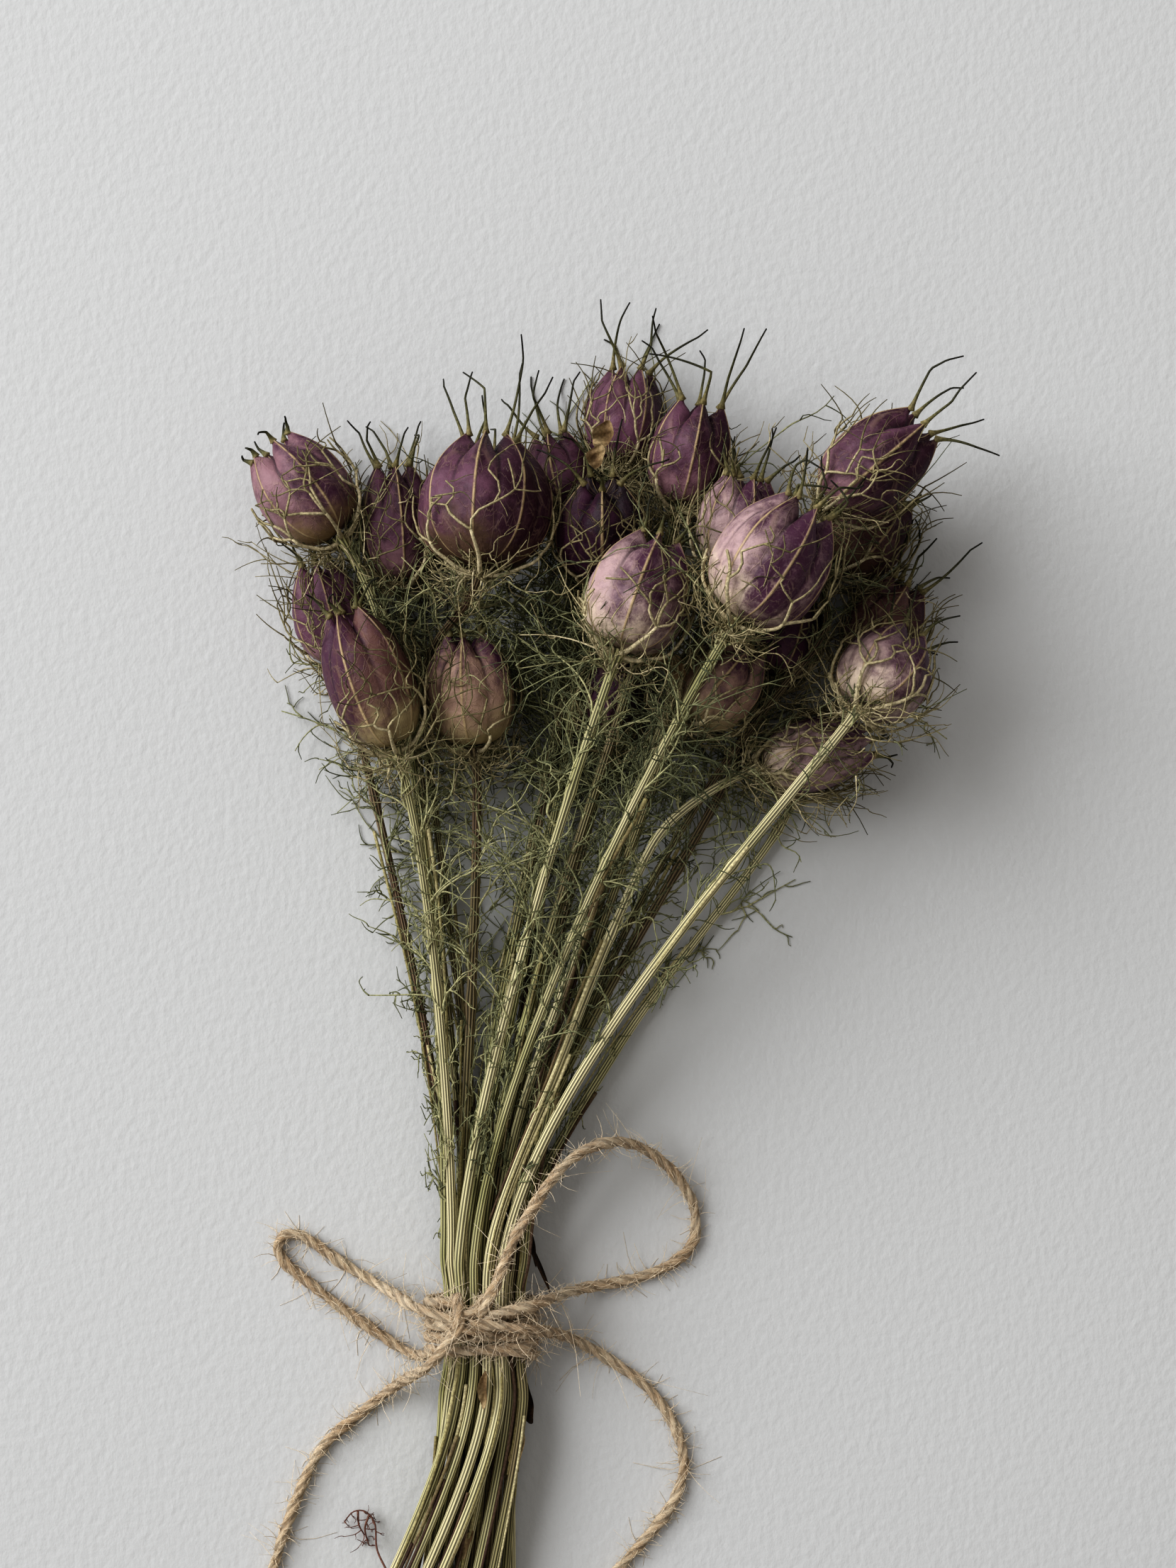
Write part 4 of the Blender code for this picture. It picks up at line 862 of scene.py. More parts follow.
class NigellaCapsules(PropertyGroup):
    steps: IntProperty(name="Steps across a lobe", description="Columns of points for each lobe", default=16)
    rows: IntProperty(name="Rows", description="Rows of points from base to tip", default=44)
    keel: FloatProperty(name="Keel", description="How far the crest of a lobe stands out, in millimetres",
                        default=0.28)
    beak: FloatProperty(name="Beak", description="How far a lobe's tip rises into its horn, in millimetres",
                        default=1.3)
    roughness: FloatProperty(name="Roughness", description="Roughness of the papery skin", default=0.5)
    vein: FloatProperty(name="Veins", description="How clearly the net of veins shows", default=0.3)
    crest: FloatProperty(name="Crest line", description="Width of the straw line as a share of half a lobe",
                         default=0.085)
    seam: colour_property("Seam", "Colour of the crest lines and veins", (0.50, 0.38, 0.22))
    bloom: colour_property("Bloom", "Greyish tint where the skin is rubbed", (0.36, 0.27, 0.32))


class NigellaStems(PropertyGroup):
    sides: IntProperty(name="Sides", description="Points round a stalk", default=27)
    ribs: IntProperty(name="Ribs", description="Ribs round a stalk", default=9)
    straw: colour_property("Straw", "Colour of a ripe stalk's ribs", (0.86, 0.78, 0.49))
    green: colour_property("Green", "Colour of a green stalk's ribs", (0.52, 0.50, 0.24))
    brown: colour_property("Brown", "Colour of a brown stalk's ribs", (0.28, 0.19, 0.125))


class NigellaThreads(PropertyGroup):
    lace_levels: IntProperty(name="Lace forks", description="How often a bract forks over the capsule", default=4)
    wisps: IntProperty(name="Wisps", description="Forked threads round the foot of each capsule", default=22)
    leaf_spacing: FloatProperty(name="Leaf spacing", description="Length of stalk for each leaf, in millimetres",
                                default=5.2)
    lace_root: colour_property("Lace root", "Colour of a bract near the stalk", (0.78, 0.68, 0.46))
    lace_tip: colour_property("Lace tip", "Colour of a bract's tips", (0.10, 0.085, 0.045))
    leaf_root: colour_property("Leaf root", "Colour of a leaf near the stalk", (0.60, 0.57, 0.33))
    leaf_tip: colour_property("Leaf tip", "Colour of a leaf's tips", (0.12, 0.13, 0.075))


class NigellaTwine(PropertyGroup):
    pitch: FloatProperty(name="Lay", description="Length of one full twist of the plies, in millimetres",
                         default=13.0)
    turns: FloatProperty(name="Turns", description="Turns of twine round the stems", default=4.15)
    fibres: IntProperty(name="Stray fibres", description="Loose fibres for each 100 mm of twine", default=850)
    blond: colour_property("Blond", "Lightest fibres", (1.0, 0.84, 0.62))
    tan: colour_property("Tan", "Most of the fibres", (0.68, 0.48, 0.295))
    brown: colour_property("Brown", "Darkest fibres", (0.30, 0.19, 0.105))


# The pieces


def capsule_surface(pod, settings, rng):
    """The grid of a capsule. Round each lobe t runs from -1 to 1 with 0 on its crest. The radius is the
    outline's, less the groove's depth times |t| to the power 1.9, plus a keel that falls off as a bell
    curve from the crest. Near the tip the crest rises into a beak and the grooves drop, and the last rows
    run in to the middle of the dip between the beaks."""
    along = pod_axes(pod)[2]
    t = np.linspace(-1.0, 1.0, settings.steps + 1)[:-1]
    t = np.sign(t) * np.abs(t) ** 1.35
    lobe = np.repeat(np.arange(pod.lobes), settings.steps)
    t = np.tile(t, pod.lobes)
    angle = ridge_angles(pod)[lobe] + t * math.pi / pod.lobes
    heights = np.linspace(0.0, 1.0, settings.rows + 1)[1:] ** 0.92
    h = heights[:, None]
    plump = rng.uniform(-0.035, 0.02, pod.lobes)[lobe]
    phase = rng.uniform(0.0, 6.3, pod.lobes)[lobe]
    depth = GROOVE_AT_BASE + (GROOVE_AT_TIP - GROOVE_AT_BASE) * h ** 3
    radius = pod.width / 2 * belly(pod, h) * (1.0 - (0.45 + 0.5 * h * h) * depth * np.abs(t) ** 1.9)
    radius = radius * (1.0 + plump * np.cos(t * math.pi / 2) * np.sin(h * math.pi))
    radius = radius + settings.keel * np.exp(-((t / 0.09) ** 2)) * np.sqrt(np.sin(np.clip(h, 0.0, 0.97) * math.pi))
    folds = np.sin(h * 31.0 - np.abs(t) * 4.0 + phase) * np.abs(t) * (1.0 - np.abs(t))
    radius = radius + (0.26 * folds + 0.12 * np.sin(t * 5.0 + phase) * np.sin(h * 9.0 + phase)) * np.sin(h * math.pi)
    crest = np.exp(-((t / 0.20) ** 2))
    drop = GROOVE_DROP * smooth_step((h - 0.72) / 0.28) * (np.abs(t) ** 1.6)
    rise = pod.length * (h - drop) + settings.beak * crest * np.clip((h - 0.78) / 0.22, 0.0, 1.0) ** 3
    inward = np.linspace(0.0, 1.0, 7)[1:-1, None]
    middle_rise = pod.length * (1.0 - GROOVE_DROP - TOP_DIP * 0.5)
    top_radius = radius[-1] * (1.0 - inward)
    top_rise = rise[-1] + (middle_rise - rise[-1]) * np.sqrt(inward)
    radius, rise = np.concatenate([radius, top_radius]), np.concatenate([rise, top_rise])
    ring = directions_round(pod, angle)
    points = raised(pod_base(pod) + along * rise[..., None] + ring * radius[..., None], SHELL_FLOOR)
    poles = [pod_base(pod), pod_base(pod) + along * middle_rise]
    levels = np.concatenate([heights, np.full(5, 1.0)])
    # Painted light: the deep cover is thinned on the side that faces pod.side, as a painted highlight, and thickened on
    # the far side, as painted shade.
    painted_lit_side = np.cos(angle - math.radians(pod.side))
    cover_and_painted_light = pod.cover + pod.top * smooth_step((levels[:, None] - 0.4) / 0.6) - 0.27 * painted_lit_side
    cover_and_painted_light = cover_and_painted_light + rng.uniform(-0.24, 0.24, pod.lobes)[lobe] - 0.2 * smooth_step((0.3 - levels[:, None]) / 0.3)
    u = np.concatenate([lobe + 0.5 + t / 2, [pod.lobes + 0.0]])
    return points, u, levels, poles, cover_and_painted_light


def horn_paths(pod, beak, rng):
    """The styles on the tips of the lobes. Each sets off leaning outwards from the tip of its lobe, bends a
    little all along, and has two sharp kinks. A path is the running sum of its directions."""
    angles = ridge_angles(pod)
    count = len(angles)
    along, ring = pod_axes(pod)[2], directions_round(pod, angles)
    middle = pod_base(pod) + along * (pod.length + beak - 0.9)
    root = middle + ring * pod.width / 2 * belly(pod, 1.0) * 0.98
    outward = unit(root - middle)
    lean = unit(along + outward * rng.uniform(0.1, 0.75, (count, 1)) + rng.normal(0.0, 0.13, (count, 3)))
    bend = outward * rng.uniform(-0.5, 0.7, (count, 1)) + rng.normal(0.0, 0.28, (count, 3))
    s = np.linspace(0.0, 1.0, 18)[None, :, None]
    ways = lean[:, None] + bend[:, None] * s
    for place in (rng.uniform(0.3, 0.6, (count, 1, 1)), rng.uniform(0.65, 0.9, (count, 1, 1))):
        kink = rng.normal(0.0, 0.42, (count, 1, 3))
        ways = ways + kink * smooth_step((s - place) / 0.08)
    lengths = pod.horn * rng.uniform(0.8, 1.35, count)
    steps = unit(ways) * (lengths / 17.0)[:, None, None]
    steps[:, 0] = 0.0
    return raised(root[:, None] + np.cumsum(steps, axis=1), THREAD_FLOOR), lengths


def rooted(pod, rng):
    """Where the free threads round the foot of a capsule start, and which way they set off."""
    along, ring = pod_axes(pod)[2], directions_round(pod, rng.uniform(0.0, 2 * math.pi, 64))
    start = pod_base(pod) - along * rng.uniform(0.6, 3.0, 64)[:, None] + ring * 1.2
    lean = unit(ring - along * rng.uniform(-0.7, 1.5, 64)[:, None])
    return start, lean


def spray(rng, roots, ways, lengths, radii, counts, curl, pull=0.0, spread=1.0):
    """Threads that fork. Each thread runs from its root by length times (way times s plus bend and pull
    times s squared). Its children leave it alternately to both sides, turned off its way, and are shorter and
    thinner. Gives a list of (paths, radii, first age, last age), one entry a generation."""
    generations = []
    for level in range(len(counts) + 1):
        runs = 7 if level < 2 else 5
        s = np.linspace(0.0, 1.0, runs + 1)[None, :, None]
        bend = np.cross(ways, rng.normal(0.0, 1.0, ways.shape)) * curl + pull
        wave = np.cross(ways, rng.normal(0.0, 1.0, ways.shape))
        paths = roots[:, None] + lengths[:, None, None] * (
            ways[:, None] * s + bend[:, None] * s * s + 0.07 * wave[:, None] * np.sin(s * 5.5))
        taper = radii[:, None] * (1.0 - 0.5 * s[0, :, 0])
        generations.append((paths, taper, level / (len(counts) + 1.0), (level + 1.0) / (len(counts) + 1.0)))
        if level == len(counts):
            break
        number = counts[level]
        at = np.clip((np.arange(number) + 1.0) / number * 0.95 + rng.uniform(-0.12, 0.05, (len(roots), number)), 0, 1)
        k = np.clip((at * runs).round().astype(int), 1, runs)
        parent = np.repeat(np.arange(len(roots)), number)
        slope = unit(np.gradient(paths, axis=1))[parent, k.reshape(-1)]
        sides = np.tile(np.where(np.arange(number) % 2, 1.0, -1.0), len(roots))
        plane = unit(np.cross(slope, rng.normal(0.0, 0.35, (len(parent), 3)) + UP * 0.8))
        turn = rng.uniform(0.5, 1.0, len(parent)) * sides * spread
        roots = paths[parent, k.reshape(-1)]
        ways = unit(slope * np.cos(turn)[:, None] + plane * np.sin(turn)[:, None])
        lengths = lengths[parent] * rng.uniform(0.4, 0.68, len(parent))
        radii = radii[parent] * 0.76
    return generations


def ageing(paths, young, old, rng, shift, spread):
    """How old each point of some threads is, from young at the root to old, and each thread's own shift."""
    return np.linspace(young, old, paths.shape[1])[None] + rng.normal(shift, spread, (len(paths), 1))


def lace_threads(pod, settings, rng):
    """The bracts over a capsule. Each starts as a rib from the foot of the capsule along its skin, and
    forks again and again. A step of a fork is a length and a direction on the skin: its height changes by
    the step times the cosine over the pod's length, and its angle by the step times the sine over the
    radius. Gives (paths, radii, first age, last age) for each generation and the free tips."""
    count = pod.bracts
    scale = (pod.width / 18.0) ** 0.6
    reach = LACE_REACH.get(pod.name, 0.66)
    angle = rng.uniform(0.0, 6.3) + 2 * math.pi * np.arange(count) / count + rng.uniform(-0.2, 0.2, count)
    height = rng.uniform(0.13, 0.24, count)
    lift = rng.uniform(1.0, 1.6, count)
    s = np.linspace(0.0, 1.0, 9)[None]
    drift = rng.uniform(-0.25, 0.25, count)
    paths = above_skin(pod, height[:, None] * s ** 1.7, angle[:, None] + drift[:, None] * s,
                       lift[:, None] * (1.0 + 0.15 * np.sin(s * 9.0)))
    out = [(paths, np.broadcast_to(0.36 + 0.26 * (1.0 - s) ** 2, (count, 9)), 0.0, 0.12)]
    angle = angle + drift
    way = rng.normal(0.0, 0.15, count)
    levels = settings.lace_levels
    for level in range(levels):
        number = rng.choice([1, 2, 3], len(angle), p=[0.08, 0.74, 0.18] if level < 2 else [0.36, 0.6, 0.04])
        parent = np.repeat(np.arange(len(angle)), number)
        first = np.concatenate([[0], np.cumsum(number)[:-1]])
        place = np.arange(len(parent)) - first[parent]
        fan = np.where(number[parent] == 1, rng.normal(0.0, 0.5, len(parent)),
                       2.0 * place / np.maximum(number[parent] - 1, 1) - 1.0)
        way = way[parent] * 0.62 + fan * rng.uniform(0.4, 0.85, len(parent)) + rng.normal(0.0, 0.14, len(parent))
        step = rng.uniform(2.8, 5.4, len(parent)) * scale
        h0, a0, l0 = height[parent], angle[parent], lift[parent]
        radius = pod.width / 2 * belly(pod, h0) + l0
        h1 = h0 + step * np.cos(way) / pod.length
        a1 = a0 + step * np.sin(way) / np.maximum(radius, 3.0)
        l1 = np.clip(l0 + rng.uniform(-0.4, 0.55, len(parent)), 0.7, 2.8)
        s = np.linspace(0.0, 1.0, 4)[None]
        bow = rng.normal(0.0, 0.10, len(parent))[:, None] * 4 * s * (1 - s)
        paths = above_skin(pod, h0[:, None] + (h1 - h0)[:, None] * s, a0[:, None] + (a1 - a0)[:, None] * s + bow,
                           l0[:, None] + (l1 - l0)[:, None] * s)
        thick = LACE_RADII[level] * rng.uniform(0.85, 1.15, (len(parent), 1))
        ages = (0.14 + 0.16 * level, 0.14 + 0.16 * (level + 1))
        out.append((paths, thick * np.linspace(1.0, 0.86, 4), *ages))
        height, angle, lift = h1, a1, l1
        going = unit(paths[:, -1] - paths[:, -2])
        ends = paths[:, -1]
        leaving = (height > reach) | (rng.uniform(size=len(height)) < 0.12 * level)
        if level == levels - 1:
            leaving[:] = True
        out.append(free_tips(pod, ends[leaving], going[leaving], rng))
        height, angle, lift, way = height[~leaving], angle[~leaving], lift[~leaving], way[~leaving]
    return [entry for entry in out if len(entry[0])]


def not_bare(pod, paths):
    """Which threads have their middles outside the side on which the capsule is bare."""
    side = np.array([*BARE_SIDES.get(pod.name, (0.0, 0.0)), 0.0])
    return (paths.mean(axis=1) - np.array(pod.middle)) @ side < 0.22 * pod.width


def free_tips(pod, ends, going, rng):
    """Curly tips: each goes on from its end, leans out from the pod, and bends more and more."""
    outward = unit(ends - np.array(pod.middle))
    along = pod_axes(pod)[2]
    way = unit(going + outward * rng.uniform(0.0, 0.8, (len(ends), 1))
               + along * rng.uniform(-0.3, 0.6, (len(ends), 1)))
    bend = np.cross(way, rng.normal(0.0, 1.0, way.shape)) * 0.55
    length = rng.uniform(3.0, 8.5, (len(ends), 1, 1))
    s = np.linspace(0.0, 1.0, 6)[None, :, None]
    paths = ends[:, None] + length * (way[:, None] * s + bend[:, None] * s ** 2)
    return paths, 0.16 * (1.0 - 0.5 * s[0, :, 0]), 0.6, 1.0


def rope(path, settings, reference, twist=0.0, radius=TWINE / 2, sides=24):
    """A three-ply rope, soft enough that its plies flatten into each other. Its outline at an angle lies
    between a circle and the furthest of three circles that touch each other round the middle, and the
    three turn once in every lay of its length. Its thickness wanders. Gives the grid, the distance along
    it, and how far out each point is, from 0 in a groove to 1 on a ply's back."""
    length = run_lengths(path)
    ply = radius * 0.50
    offset = radius - ply
    turn = np.arange(sides) * 2 * math.pi / sides
    lay = length / settings.pitch * 2 * math.pi + 0.5 * np.sin(length / 9.0 + twist)
    angle = turn[None] - (lay[:, None] + twist)
    nearest = (angle + math.pi / 3) % (2 * math.pi / 3) - math.pi / 3
    inside = np.maximum(ply ** 2 - (offset * np.sin(nearest)) ** 2, 0.0)
    out = offset * np.cos(nearest) + np.sqrt(inside)
    # height is 0 in a groove and 1 on a ply's back; the jute paint darkens the grooves by it, as painted shade.
    height = (out / radius - 0.72) / 0.28
    thick = 0.93 + 0.07 * np.sin(length * 0.9 + twist) + 0.08 * np.sin(length * 0.31 + 2.0 * twist)
    ragged = 0.05 * np.sin(5.0 * turn[None] + 2.1 * length[:, None]) * np.sin(1.3 * length[:, None])
    out = (0.5 * out + 0.5 * radius) * (thick[:, None] + ragged)
    return sweep(path, out, reference), length, height, lay + twist


def add_rope(shell, path, settings, reference, twist=0.0, radius=TWINE / 2):
    """One rope as a closed grid in the shell. u is 0 to 1 round it, less one for every turn of the plies,
    so that u stays the same along a ply, and v is the length in millimetres."""
    points, length, height, lay = rope(path, settings, reference, twist, radius)
    points = raised(points, SHELL_FLOOR)
    sides = points.shape[1]
    shell.grid(points, np.arange(sides + 1) / sides, length, [path[0], path[-1]], height, lean=lay / (2 * math.pi))


def fibres(path, rng, number, radius=TWINE / 2, reach=1.0):
    """Stray fibres along a rope: each starts on its skin, runs partly along it, and curls away."""
    k = rng.integers(1, len(path) - 1, number)
    tangent = unit(np.gradient(path, axis=0))[k]
    out = unit(np.cross(tangent, rng.normal(0.0, 1.0, (number, 3))))
    root = path[k] + out * radius * 0.7
    way = unit(tangent * rng.choice([-1.0, 1.0], (number, 1)) * rng.uniform(0.4, 1.6, (number, 1)) + out)
    bend = np.cross(way, rng.normal(0.0, 1.0, (number, 3))) * 0.7
    length = rng.gamma(1.25, 1.3, (number, 1, 1)) * reach
    s = np.linspace(0.0, 1.0, 4)[None, :, None]
    return raised(root[:, None] + length * (way[:, None] * s + bend[:, None] * s ** 2), 0.08)


def round_tie(turn, room):
    """How far right and how far up a point on the superellipse round the tie lies, at each angle."""
    shares = [np.sign(part) * np.abs(part) ** (2 / TIE_POWER) for part in (np.cos(turn), np.sin(turn))]
    return shares[0] * (TIE_INNER[0] + room), shares[1] * (TIE_INNER[1] + room)


def add_flake(shell, middle, way, length, width, rng):
    """A dry scrap, cupped and crumpled. Its half width at a share s of its length is the sine of pi s to
    the power 0.7, it is 0.22 mm thick, its edges curl up with the square of how far out they are, and
    slow waves crumple it."""
    way = unit(way)
    side = unit(np.cross(way, UP))
    up = np.cross(side, way)
    s = np.linspace(0.0, 1.0, 22)[1:-1, None]
    turn = np.arange(28) * 2 * math.pi / 28
    across = np.cos(turn)[None] * (np.sin(s * math.pi) ** 0.7) * (1.0 + 0.12 * np.sin(9.0 * s + turn[None]))
    waves = rng.uniform(0.0, 6.3, 4)
    rise = width * (0.45 * across ** 2 + 0.13 * np.sin(7.0 * s + waves[0] + 2.0 * across)
                    + 0.09 * np.sin(13.0 * s + waves[1] - 4.0 * across)) + 0.11 * np.sin(turn)[None]
    drift = 0.18 * length * np.sin(2.2 * s + waves[2]) * (s - 0.3)
    points = (middle + way * (length * (s - 0.5))[..., None] + side * (width / 2 * across + drift)[..., None]
              + up * rise[..., None])
    points = raised(points, 0.1)
    poles = [points[0].mean(axis=0) - way * 0.2, points[-1].mean(axis=0) + way * 0.2]
    value = 0.45 + 0.35 * np.sin(5.0 * s + waves[3] + 2.0 * across)
    shell.grid(points, np.arange(29) / 28, s[:, 0], poles, value)


# One operator for each group of pieces


class NIGELLA_OT_stage(Operator):
    """The camera over the bunch, the sheet that it lies on, and soft light from a window on its left"""

    bl_idname = "nigella.stage"
    bl_label = "Camera, sheet and light"

    def execute(self, context):
        settings = context.scene.nigella_stage
        middle = BENCH_TO_BOX * MM
        data = bpy.data.cameras.new("camera")
        data.lens = settings.lens
        camera = bpy.data.objects.new("camera", data)
        camera.location = (middle[0], middle[1], settings.camera_height)
        context.scene.collection.objects.link(camera)
        context.scene.camera = camera

        mesh = bpy.data.meshes.new("paper_sheet")
        size = 3.0  # metres from the middle to an edge
        mesh.from_pydata([(-size, -size, 0), (size, -size, 0), (size, size, 0), (-size, size, 0)], [], [(0, 1, 2, 3)])
        sheet = bpy.data.objects.new("paper_sheet", mesh)
        context.scene.collection.objects.link(sheet)
        paint = Paint("paper", 0.9, 0.2)
        place = paint.place()
        wide = paint.noise(place, 9.0, 2.0)
        stretched = paint.add("ShaderNodeMapping", {"Vector": place, "Scale": (1.0, 0.75, 1.0)})
        grain = paint.noise(stretched, 560.0, 3.0, 0.5)
        colour = paint.mix(paint.range(wide, 0.3, 0.7, 0.0, 0.06), tuple(settings.paper),
                           shade(settings.paper, 0.9))
        paint.bump(grain, 0.26, 0.0008)
        mesh.materials.append(paint.done(colour))

        for name, place, energy, span, colour in (
            ("window", (-1.85, 1.0, 1.55), settings.key_energy, 2.2, (0.975, 0.99, 1.0)),
            ("sky", (0.3, 0.5, 2.2), settings.key_energy * 0.05, 1.4, (0.96, 0.98, 1.0)),
        ):
            lamp = bpy.data.lights.new(name, "AREA")
            lamp.energy, lamp.color = energy, colour
            lamp.shape, lamp.size = "SQUARE", span
            light = bpy.data.objects.new(name, lamp)
            light.location = place
            aim = unit(np.array(place))
            light.rotation_euler = (math.acos(aim[2]), 0.0, math.atan2(aim[0], -aim[1]))
            context.scene.collection.objects.link(light)
        world = bpy.data.worlds.new("room")
        world.use_nodes = True
        background = world.node_tree.nodes["Background"]
        background.inputs["Color"].default_value = (1.0, 0.955, 0.89, 1.0)
        background.inputs["Strength"].default_value = settings.fill
        context.scene.world = world
        context.scene.view_settings.view_transform = "Standard"
        context.scene.view_settings.look = "High Contrast"
        return {"FINISHED"}


class NIGELLA_OT_twine(Operator):
    """The turns of twine, the knot, the two loops of the bow and its two free ends"""

    bl_idname = "nigella.twine"
    bl_label = "Twine"

    def execute(self, context):
        settings = context.scene.nigella_twine
        rng = np.random.default_rng(SEED + 5)
        jute = twine_paint(settings)
        lines = []
        for name, route in BOW.items():
            path = smooth_route(route, 0.55)
            lines.append(path)
            shell = Shell()
            add_rope(shell, path, settings, UP, rng.uniform(0.0, 6.0))
            piece = shell.make(name.replace("twine", "jute"), [jute], "twine", name)
            placed = (path + BENCH_TO_BOX) * MM
            length = float(np.linalg.norm(np.diff(placed, axis=0), axis=1).sum())

        shell = Shell()
        turn = np.linspace(0.0, settings.turns * 2 * math.pi, 470) + 1.9
        reach = 1.0 + 0.012 * np.sin(2.3 * turn)
        x, z = round_tie(turn, TWINE / 2)
        y = np.linspace(TIE_HALF_LENGTH - 1.3, 1.3 - TIE_HALF_LENGTH, len(turn)) + 0.28 * np.sin(turn * 1.31)
        wound = even(TIE + np.stack([x * reach, y, z * reach], axis=1), 0.6, 2)
        add_rope(shell, wound, settings, np.array([0.0, 1.0, 0.0]))
        lines.append(wound)
        x, z = round_tie(np.radians(np.linspace(72.0, -75.0, 60)), TWINE / 2 + 0.1)
        fallen = TIE + np.stack([x, np.linspace(-4.6, -9.2, 60), z], axis=1)
        add_rope(shell, even(fallen, 0.6, 2), settings, np.array([0.0, 1.0, 0.0]), 1.0)
        lines.append(fallen)
        for k, strand in enumerate(KNOT_STRANDS):
            path = smooth_route(strand, 0.55)
            add_rope(shell, path, settings, np.array([0.2, 0.1, 0.9]), k * 1.3, TWINE / 2 * 0.98)
            lines.append(path)
        shell.make("jute_turns_and_knot", [jute], "twine", "twine_wrap")

        shell = Shell()
        for path in lines:
            length = np.linalg.norm(np.diff(path, axis=0), axis=1).sum()
            number = max(6, int(settings.fibres * length / 100.0))
            paths = fibres(path, rng, number)
            radii = rng.uniform(0.05, 0.10, (number, 1)) * np.linspace(1.0, 0.5, 4)
            shell.threads(paths, radii, 3, np.linspace(0.3, 1.0, 4))
        hair = thread_paint("jute_fibre", ((0.0, tuple(settings.tan)), (0.5, tuple(settings.blond)),
                                           (1.0, (0.88, 0.76, 0.60))), 0.8)
        shell.make("jute_fibres", [hair], "twine")
        return {"FINISHED"}


class NIGELLA_OT_capsules(Operator):
    """The capsules with their horns"""

    bl_idname = "nigella.capsules"
    bl_label = "Capsules"

    def execute(self, context):
        settings = context.scene.nigella_capsules
        rng = np.random.default_rng(SEED + 1)
        shape_rng = np.random.default_rng(SEED + 11)
        horn = thread_paint("horn", ((0.0, (0.30, 0.25, 0.12)), (0.22, (0.16, 0.15, 0.065)),
                                     (0.55, (0.06, 0.06, 0.03)), (0.95, (0.012, 0.011, 0.009))), 0.55)
        for pod in PODS:
            shell = Shell()
            shell.grid(*capsule_surface(pod, settings, shape_rng))
            paths, lengths = horn_paths(pod, settings.beak, rng)
            s = np.linspace(0.0, 1.0, paths.shape[1])[None]
            radii = 0.34 - 0.18 * s + 0.55 * np.exp(-s * lengths[:, None] / 1.1)
            shell.threads(paths, radii, 7, s * 0.95, paint=1)
            shell.make("capsule_" + pod.name, [capsule_skin(pod, settings), horn], pod.finish, "pod_" + pod.name)
        return {"FINISHED"}


class NIGELLA_OT_stems(Operator):
    """The ribbed stalks, from the capsules through the tie to their cut ends"""

    bl_idname = "nigella.stems"
    bl_label = "Stalks"

    def execute(self, context):
        settings = context.scene.nigella_stems
        rng = np.random.default_rng(SEED + 3)
        skin = stem_paint(settings)
        rows = [row for _, (_, _, row) in sorted(assign_slots().items())]
        # Lower rows take browner, darker tones: partly brown stalks, partly painted shade under the rows above.
        tones = [rng.uniform(*ROW_TONES[row]) for row in rows]
        for pod, line, tone in zip(PODS, stem_lines(), tones):
            tone = SEEN_TONES.get(pod.name, tone)
            length = run_lengths(line)
            radius = stem_radius(line[:, 1]) * rng.uniform(0.78, 1.02) + 0.85 * np.exp(-((length / 2.2) ** 2))
            joint = (length - rng.uniform(20.0, 60.0)) / 1.8
            radius = radius + 0.28 * np.exp(-joint ** 2)
            turn = np.arange(settings.sides) * 2 * math.pi / settings.sides
            oval = 1.0 + 0.05 * np.cos(2 * turn + rng.uniform(0.0, 3.0))
            rib = 1.0 + 0.07 * np.cos(settings.ribs * turn) * np.clip(length / 6.0, 0.0, 1.0)[:, None]
            rings = raised(sweep(line, radius[:, None] * oval[None] * rib, UP), SHELL_FLOOR)
            shell = Shell()
            u = np.arange(settings.sides + 1) / settings.sides
            value = np.full(rings.shape[:2], tone) + 0.12 * np.sin(length / 23.0 + tone * 9.0)[:, None]
            shell.grid(rings, u, length, [line[0] + unit(line[0] - line[1]) * 0.3, line[-1]], value)
            shell.make("stalk_" + pod.name, [skin], "stem", "stem_" + pod.name)
        return {"FINISHED"}


class NIGELLA_OT_lace(Operator):
    """The feathery bracts that hug the capsules"""

    bl_idname = "nigella.lace"
    bl_label = "Lace"

    def execute(self, context):
        settings = context.scene.nigella_threads
        rng = np.random.default_rng(SEED + 7)
        lace = thread_paint("lace", ((0.0, tuple(settings.lace_root)), (0.35, (0.52, 0.45, 0.27)),
                                     (0.7, (0.24, 0.205, 0.11)), (1.0, tuple(settings.lace_tip))))
        for pod in PODS:
            shell = Shell()
            for paths, radii, young, old in lace_threads(pod, settings, rng):
                ages = ageing(paths, young, old, rng, 0.0, 0.07)
                paths = raised(paths, radii.max() + 0.05)
                kept = not_bare(pod, paths) if young > 0.0 else np.full(len(paths), True)
                radii = np.broadcast_to(radii, paths.shape[:2])[kept]
                shell.threads(paths[kept], radii, 5 if young == 0.0 else 4, ages[kept])
            start, lean = rooted(pod, rng)
            number = settings.wisps
            lengths = rng.uniform(4.0, 12.0, number)
            for paths, radii, young, old in spray(rng, start[:number], lean[:number], lengths,
                                                  np.full(number, WISP_RADIUS), (4, 2), 0.75, pod_axes(pod)[2] * 0.55):
                ages = ageing(paths, young * 0.7, old * 0.7, rng, 0.08, 0.14)
                kept = not_bare(pod, paths) & off_faces(paths, rng, 0.7)
                shell.threads(keep_out(paths[kept], 0.5), radii[kept], 3, ages[kept])
            shell.make("lace_" + pod.name, [lace], "stem")
        return {"FINISHED"}


